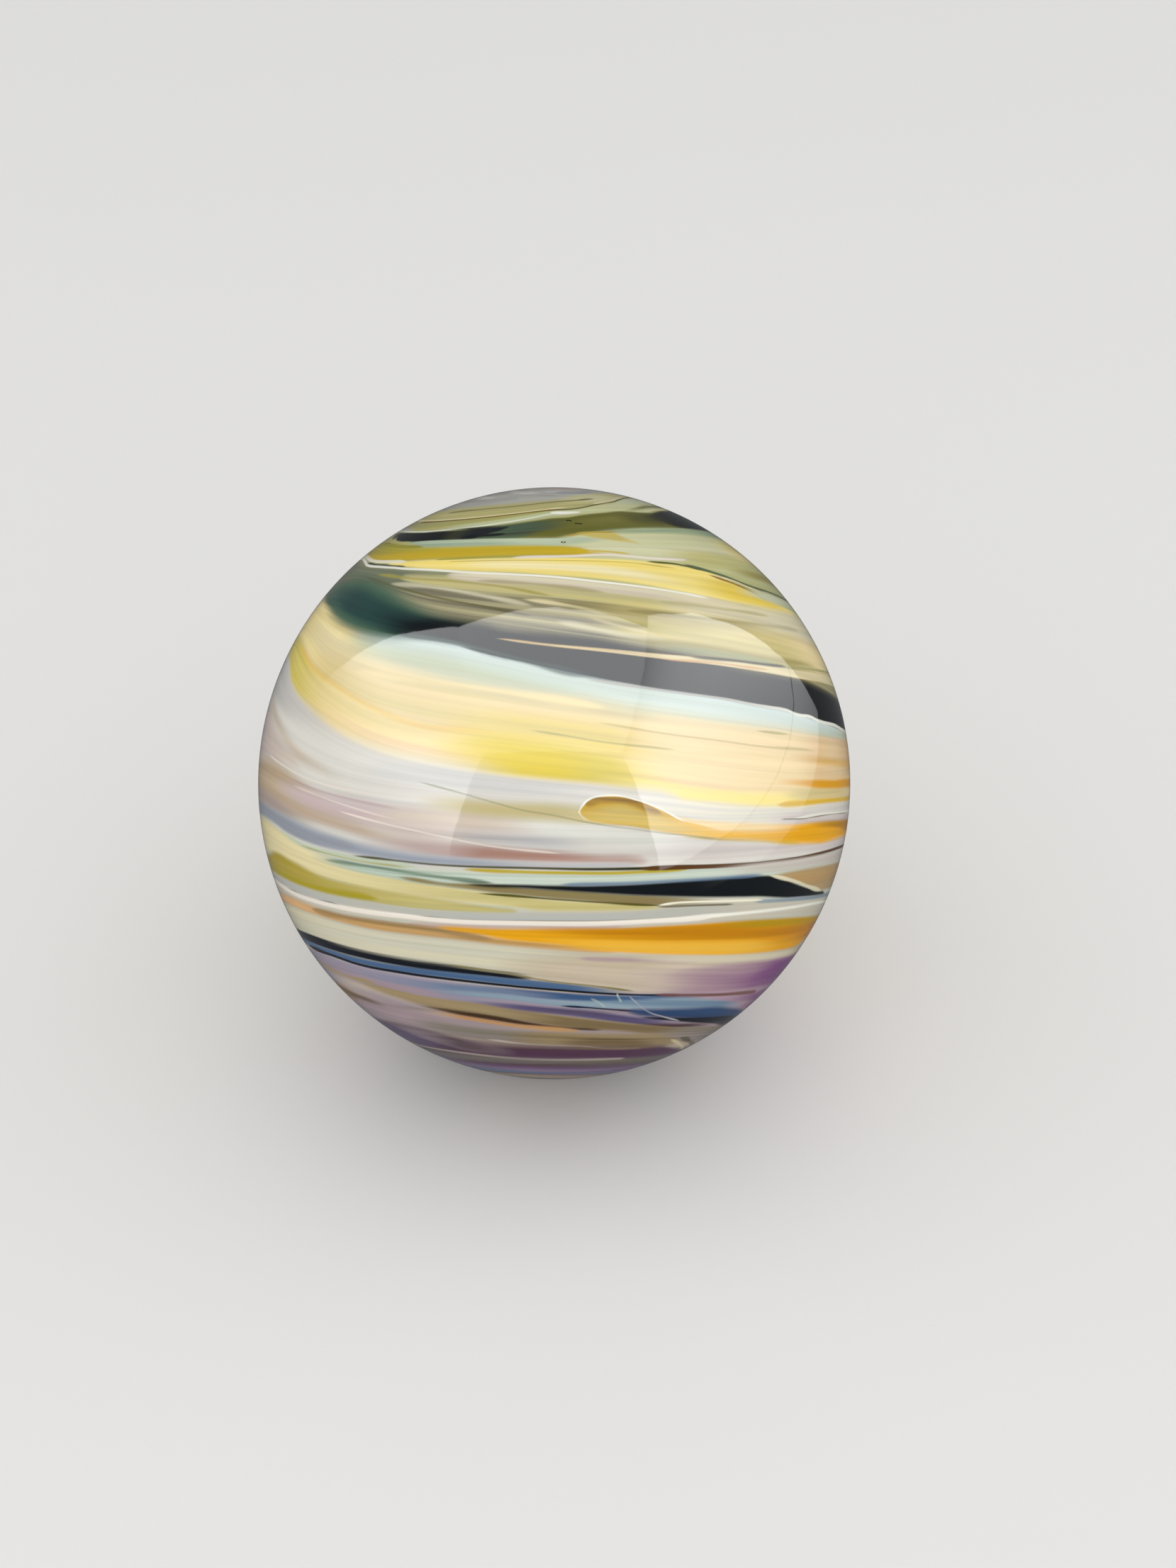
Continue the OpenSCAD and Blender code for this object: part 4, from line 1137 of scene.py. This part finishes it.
PATTERNS = (               # name, length and width of the fibres in degrees, detail, contrast
    ("fine", 50, 0.5, 2.0, 2.2),
    ("medium", 75, 1.4, 2.0, 2.4),
    ("broad", 60, 5.0, 3.0, 2.2),
)
SWAY_SCALE = 230.0         # of the noise that lifts and lowers the streaks' edges
RIPPLE_SCALE, RIPPLE_STRENGTH, RIPPLE_DEPTH = 900.0, 0.03, 0.2 * MM      # of the skin's faint waviness
SEED = {"At bearing": 3.3, "At height": 49.8, "Half length": 0.7, "Half width": 0.3}


def swirl_glass(colours, finish, lean):
    """The marble's glass: streaks of colour under a clear, fire-polished skin."""
    material = bpy.data.materials.new("swirl_glass")
    material.use_nodes = True
    tree = material.node_tree
    tree.nodes.clear()
    point = put(tree, "ShaderNodeTexCoord").outputs["Object"]
    place = put(tree, "ShaderNodeGroup", {"Point": point, "Lean": lean},
                node_tree=swirl_place_group()).outputs
    flow = put(tree, "ShaderNodeAttribute", attribute_name="flow").outputs["Fac"]
    fibres = fibre_group()
    patterns = {}
    for name, long, wide, detail, contrast in PATTERNS:
        patterns[name] = put(tree, "ShaderNodeGroup", {
            "Round": place["Round"], "Flow": flow, "Length": long, "Width": wide, "Detail": detail,
            "Contrast": contrast}, node_tree=fibres).outputs["Mask"]
    sway = put(tree, "ShaderNodeTexNoise", {"Vector": point, "Scale": SWAY_SCALE, "Detail": 1.0}).outputs[0]
    height, bearing = (
        calc(tree, "MULTIPLY_ADD", calc(tree, "SUBTRACT", pattern, 0.5), finish.wander, start)
        for pattern, start in ((sway, place["Height"]), (patterns["broad"], place["Bearing"])))

    swirl = Swirl(tree, colours, bearing, height, patterns, finish.melt)
    swirl.colour = blend(tree, patterns["broad"], swirl.paint("cap_grey"), swirl.paint("cap_lilac"))
    lay_grounds(swirl.ground)
    for lay in (lay_cap, lay_dark_shoulder, lay_ochre, lay_beige, lay_yellow_band, lay_black_band,
                lay_white_field, lay_eye, lay_brown_line, lay_olive_line, lay_white_line, lay_pale_low,
                lay_blue_lines, lay_foot):
        lay(swirl.band, swirl.brushed, swirl.thread)

    seed = {"Under": swirl.colour, "Bearing": bearing, "Height": height, **SEED,
            "Edge": swirl.paint("green_black"), "Inside": swirl.paint("khaki")}
    seeded = put(tree, "ShaderNodeGroup", seed, node_tree=seed_group()).outputs[0]
    lighten = calc(tree, "MULTIPLY_ADD", patterns["fine"], finish.grain, 1 - finish.grain / 2)
    streaked = vector_calc(tree, "SCALE", {0: seeded, "Scale": lighten})
    ripple = put(tree, "ShaderNodeTexNoise",
                 {"Vector": point, "Scale": RIPPLE_SCALE, "Detail": 1.0}).outputs[0]
    bump = put(tree, "ShaderNodeBump",
               {"Height": ripple, "Strength": RIPPLE_STRENGTH, "Distance": RIPPLE_DEPTH}).outputs[0]
    surface = put(tree, "ShaderNodeBsdfPrincipled", {
        "Base Color": streaked, "Roughness": finish.roughness, "IOR": finish.ior, "Normal": bump})
    put(tree, "ShaderNodeOutputMaterial", {"Surface": surface.outputs[0]})
    return material


# ---------------------------------------------------------------- the ball

CUBE_SIDES = (             # each side's way out, right and up
    ((1, 0, 0), (0, 1, 0), (0, 0, 1)),
    ((-1, 0, 0), (0, -1, 0), (0, 0, 1)),
    ((0, 1, 0), (-1, 0, 0), (0, 0, 1)),
    ((0, -1, 0), (1, 0, 0), (0, 0, 1)),
    ((0, 0, 1), (1, 0, 0), (0, 1, 0)),
    ((0, 0, -1), (1, 0, 0), (0, -1, 0)),
)
FACE_CORNERS = ((0, 0), (1, 0), (1, 1), (0, 1))
BAKE_MARGIN = 0.01
DIP_SCALE = 1.3            # of the ball's slight dips, to its radius
WAVE_SCALE, WAVE_ACROSS = 2.2, 0.16     # of the flame's ripple, along the streaks and across them


def cube_grid(rows):
    """Points, faces and face layout of a cube's six sides, each cut into rows by rows faces."""
    index, points, faces, layout = {}, [], [], []
    for side, ways in enumerate(CUBE_SIDES):
        out, right, up = map(Vector, ways)
        for row in range(rows):
            for column in range(rows):
                face = []
                for a, b in FACE_CORNERS:
                    place = out * rows + right * (2 * (column + a) - rows) + up * (2 * (row + b) - rows)
                    key = (round(place.x), round(place.y), round(place.z))
                    if key not in index:
                        index[key] = len(points)
                        points.append(key)
                    face.append(index[key])
                faces.append(face)
                layout.append((side, column, row))
    return np.array(points, float) / rows, faces, layout


def uneven_radius(points, flow, ball):
    """The ball's radius at each unit point: a true sphere less a slight dip and the flame's ripple."""
    radii = np.empty(len(points))
    for i, (x, y, z) in enumerate(points):
        dip = noise.noise(Vector((x, y, z)) * DIP_SCALE) * 0.5 + 0.5
        wave = noise.noise(Vector((x * WAVE_SCALE, y * WAVE_SCALE, flow[i] * WAVE_ACROSS))) * 0.5 + 0.5
        radii[i] = BALL_RADIUS - ball.uneven * dip - ball.ripple * wave
    return radii


def add_bake_layout(mesh, rows, layout):
    """A UV map with the six sides in two rows of three, with a margin round each."""
    layer = mesh.uv_layers.new(name="OFBake")
    places = np.empty((len(layout), 4, 2))
    for face, (side, column, row) in enumerate(layout):
        for corner, (a, b) in enumerate(FACE_CORNERS):
            across, up = (BAKE_MARGIN + (1 - 2 * BAKE_MARGIN) * step / rows for step in (column + a, row + b))
            places[face, corner] = ((side % 3 + across) / 3, (side // 3 + up) / 2)
    layer.data.foreach_set("uv", places.ravel())


class MARBLE_OT_ball(bpy.types.Operator):
    """Make the ball of swirled glass in place of the plain one"""
    bl_idname = "marble.ball"
    bl_label = "Glass ball"
    bl_options = {"REGISTER", "UNDO"}

    def execute(self, context):
        scene = context.scene
        ball = scene.marble_ball
        points, faces, layout = cube_grid(ball.rows)
        curved = np.tan(points * math.pi / 4)
        unit = curved / np.linalg.norm(curved, axis=1)[:, None]
        flow = flow_at(unit, ball.lean)
        placed = unit * uneven_radius(unit, flow, ball)[:, None] + np.array(BALL_CENTRE)
        mesh = bpy.data.meshes.new("glass_ball")
        mesh.from_pydata(placed.tolist(), [], faces)
        mesh.attributes.new("flow", "FLOAT", "POINT").data.foreach_set("value", flow)
        add_bake_layout(mesh, ball.rows, layout)
        mesh.shade_smooth()
        if mesh.validate():
            raise RuntimeError("the ball's mesh has a fault")
        mesh.materials.append(swirl_glass(scene.marble_glass, scene.marble_finish, ball.lean))
        piece = bpy.data.objects.new("glass_ball", mesh)
        scene.collection.objects.link(piece)
        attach(piece, "root")
        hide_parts("marble")
        return {"FINISHED"}


# ---------------------------------------------------------------- the stage

MOTTLE_SCALE, MOTTLE_SHADE = 6.0, 0.97      # of the faint mottle of the floor's paper


def floor_paper(colour):
    """Matt pale paper with a very faint mottle."""
    material = bpy.data.materials.new("floor_paper")
    material.use_nodes = True
    tree = material.node_tree
    surface = tree.nodes["Principled BSDF"]
    point = put(tree, "ShaderNodeTexCoord").outputs["Object"]
    mottle = put(tree, "ShaderNodeTexNoise",
                 {"Vector": point, "Scale": MOTTLE_SCALE, "Detail": 2.0}).outputs[0]
    shade = tuple(MOTTLE_SHADE * level for level in colour)
    tree.links.new(blend(tree, mottle, (*shade, 1), (*colour, 1)), surface.inputs["Base Color"])
    surface.inputs["Roughness"].default_value = 0.9
    surface.inputs["Specular IOR Level"].default_value = 0.2
    return material


PANEL_GAP = 2 * MM         # from each panel that lights the colours to the one that the polish reflects
LENGTH, HEIGHT = 0, 1      # the two sides of a panel
WHITE = (1, 1, 1, 1)
POLISH_WHITE = (0.97, 0.985, 1.0, 1)
SKY_GREY = (0.9, 0.92, 0.96, 1)


def add_panel(name, centre, outward, size, power, fades, in_polish):
    """A soft panel that lights either the colours or only their reflection. Each fade says along which
    side, length or height, and over which share of it, the panel comes up from dark to bright."""
    light = bpy.data.lights.new(name, "AREA")
    light.shape = "RECTANGLE"
    light.size, light.size_y = size
    light.energy = power * size[0] * size[1]
    light.use_nodes = True
    tree = light.node_tree
    emission = tree.nodes["Emission"].inputs
    emission["Color"].default_value = POLISH_WHITE if in_polish else WHITE
    across = put(tree, "ShaderNodeNewGeometry").outputs["Parametric"]
    part = put(tree, "ShaderNodeSeparateXYZ", {0: across}).outputs
    bright = 1
    for side, start, end in fades:
        bright = calc(tree, "MULTIPLY", smooth_step(tree, part[side], start, end), bright)
    if fades:
        tree.links.new(bright, emission["Strength"])
    panel = bpy.data.objects.new(name, light)
    panel.rotation_euler = (-Vector(outward)).to_track_quat("-Z", "Y").to_euler()
    panel.location = centre
    panel.visible_camera = False
    panel.visible_diffuse = not in_polish
    panel.visible_glossy = in_polish
    bpy.context.scene.collection.objects.link(panel)


def add_floor(stage):
    """A wide square of pale paper under the ball, which the polish doesn't reflect."""
    half = stage.floor_size / 2
    corners = [(x * half, y * half, BALL_LOW.z) for x, y in ((-1, -1), (1, -1), (1, 1), (-1, 1))]
    mesh = bpy.data.meshes.new("floor")
    mesh.from_pydata(corners, [], [(0, 1, 2, 3)])
    mesh.materials.append(floor_paper(stage.floor_colour))
    floor = bpy.data.objects.new("floor", mesh)
    bpy.context.scene.collection.objects.link(floor)
    floor.visible_glossy = False


def add_light_box(stage):
    """Panels on the left, the right, above and in front. Each is a pair, for the colours and the polish."""
    half, high, front, seam = stage.box_half, stage.box_height, stage.box_front, stage.box_seam
    back, far_back = stage.box_back, stage.box_far_back
    for name, outward, end, fades, glow in (
            ("left", (-1, 0, 0), back, [(HEIGHT, 0.0, 0.4)], stage.shine_left),
            ("right", (1, 0, 0), far_back, [(HEIGHT, -0.4, 0.5), (HEIGHT, 1.5, 0.6)], stage.shine_right),
            ("top", (0, 0, 1), back, [], stage.shine_top),
            ("front", (0, -1, 0), back, [(HEIGHT, 0.2, 1.0)], stage.shine_front)):
        deep, middle = front + end, (end - front) / 2
        width = deep if outward[0] else 2 * half
        height = deep if outward[2] else high
        centre = (outward[0] * half, -front if outward[1] else middle, high if outward[2] else high / 2)
        nearer = [part - PANEL_GAP * way for part, way in zip(centre, outward)]
        size = (width - seam, height - seam)
        add_panel("panel_" + name, centre, outward, size, stage.panel_power, [], in_polish=False)
        add_panel("shine_" + name, nearer, outward, size, glow, fades, in_polish=True)
    drop = stage.shine_drop
    add_panel("shine_low", (half - PANEL_GAP, (far_back - front) / 2, -drop / 2), (1, 0, 0),
              (far_back + front, drop), stage.shine_right, [(HEIGHT, -1.2, 3.8), (LENGTH, 0.2, 0.65)],
              in_polish=True)


def add_fill(stage):
    """Soft grey light from all round, which the polish reflects less of."""
    world = bpy.data.worlds.new("fill")
    bpy.context.scene.world = world
    world.use_nodes = True
    tree = world.node_tree
    sky = tree.nodes["Background"].inputs
    sky["Color"].default_value = SKY_GREY
    in_polish = put(tree, "ShaderNodeLightPath").outputs["Is Glossy Ray"]
    dimmed = calc(tree, "MULTIPLY", in_polish, stage.sky_in_polish - stage.sky_strength)
    tree.links.new(calc(tree, "ADD", dimmed, stage.sky_strength), sky["Strength"])


def add_camera(stage):
    """The camera, which looks down at the ball."""
    lens = bpy.data.cameras.new("camera")
    lens.sensor_fit = "VERTICAL"
    lens.sensor_height = 36
    lens.lens = stage.lens
    lens.clip_start = 0.005
    lens.clip_end = 50
    camera = bpy.data.objects.new("camera", lens)
    turn = Matrix.Rotation(math.radians(90) - stage.camera_height, 4, "X")
    away = Vector((stage.camera_aside, -stage.camera_down, stage.camera_distance))
    camera.matrix_world = Matrix.Translation(BALL_CENTRE) @ turn @ Matrix.Translation(away)
    bpy.context.scene.collection.objects.link(camera)
    bpy.context.scene.camera = camera


class MARBLE_OT_stage(bpy.types.Operator):
    """Make the floor, the soft light and the camera"""
    bl_idname = "marble.stage"
    bl_label = "Stage"
    bl_options = {"REGISTER", "UNDO"}

    def execute(self, context):
        stage = context.scene.marble_stage
        add_floor(stage)
        add_light_box(stage)
        add_fill(stage)
        add_camera(stage)
        context.scene.view_settings.view_transform = "Standard"
        return {"FINISHED"}


class MARBLE_PT_panel(bpy.types.Panel):
    """Lists the marble's pieces and what can be changed"""
    bl_idname = "MARBLE_PT_panel"
    bl_label = "Marble"
    bl_space_type = "VIEW_3D"
    bl_region_type = "UI"
    bl_category = "Marble"

    def draw(self, context):
        for name, kind in GROUPS.items():
            group = getattr(context.scene, name)
            box = self.layout.box()
            for field in kind.__annotations__:
                box.prop(group, field)
        for operator in (MARBLE_OT_ball, MARBLE_OT_stage):
            self.layout.operator(operator.bl_idname)


GROUPS = {
    "marble_ball": MARBLE_PG_ball,
    "marble_finish": MARBLE_PG_finish,
    "marble_glass": MARBLE_PG_glass,
    "marble_stage": MARBLE_PG_stage,
}
CLASSES = (*GROUPS.values(), MARBLE_OT_ball, MARBLE_OT_stage, MARBLE_PT_panel)


def register():
    for kind in CLASSES:
        bpy.utils.register_class(kind)
    for name, kind in GROUPS.items():
        setattr(bpy.types.Scene, name, bpy.props.PointerProperty(type=kind))


def unregister():
    for name in GROUPS:
        delattr(bpy.types.Scene, name)
    for kind in reversed(CLASSES):
        bpy.utils.unregister_class(kind)


def main():
    register()
    bpy.ops.marble.ball()
    bpy.ops.marble.stage()


if __name__ == "__main__":
    main()
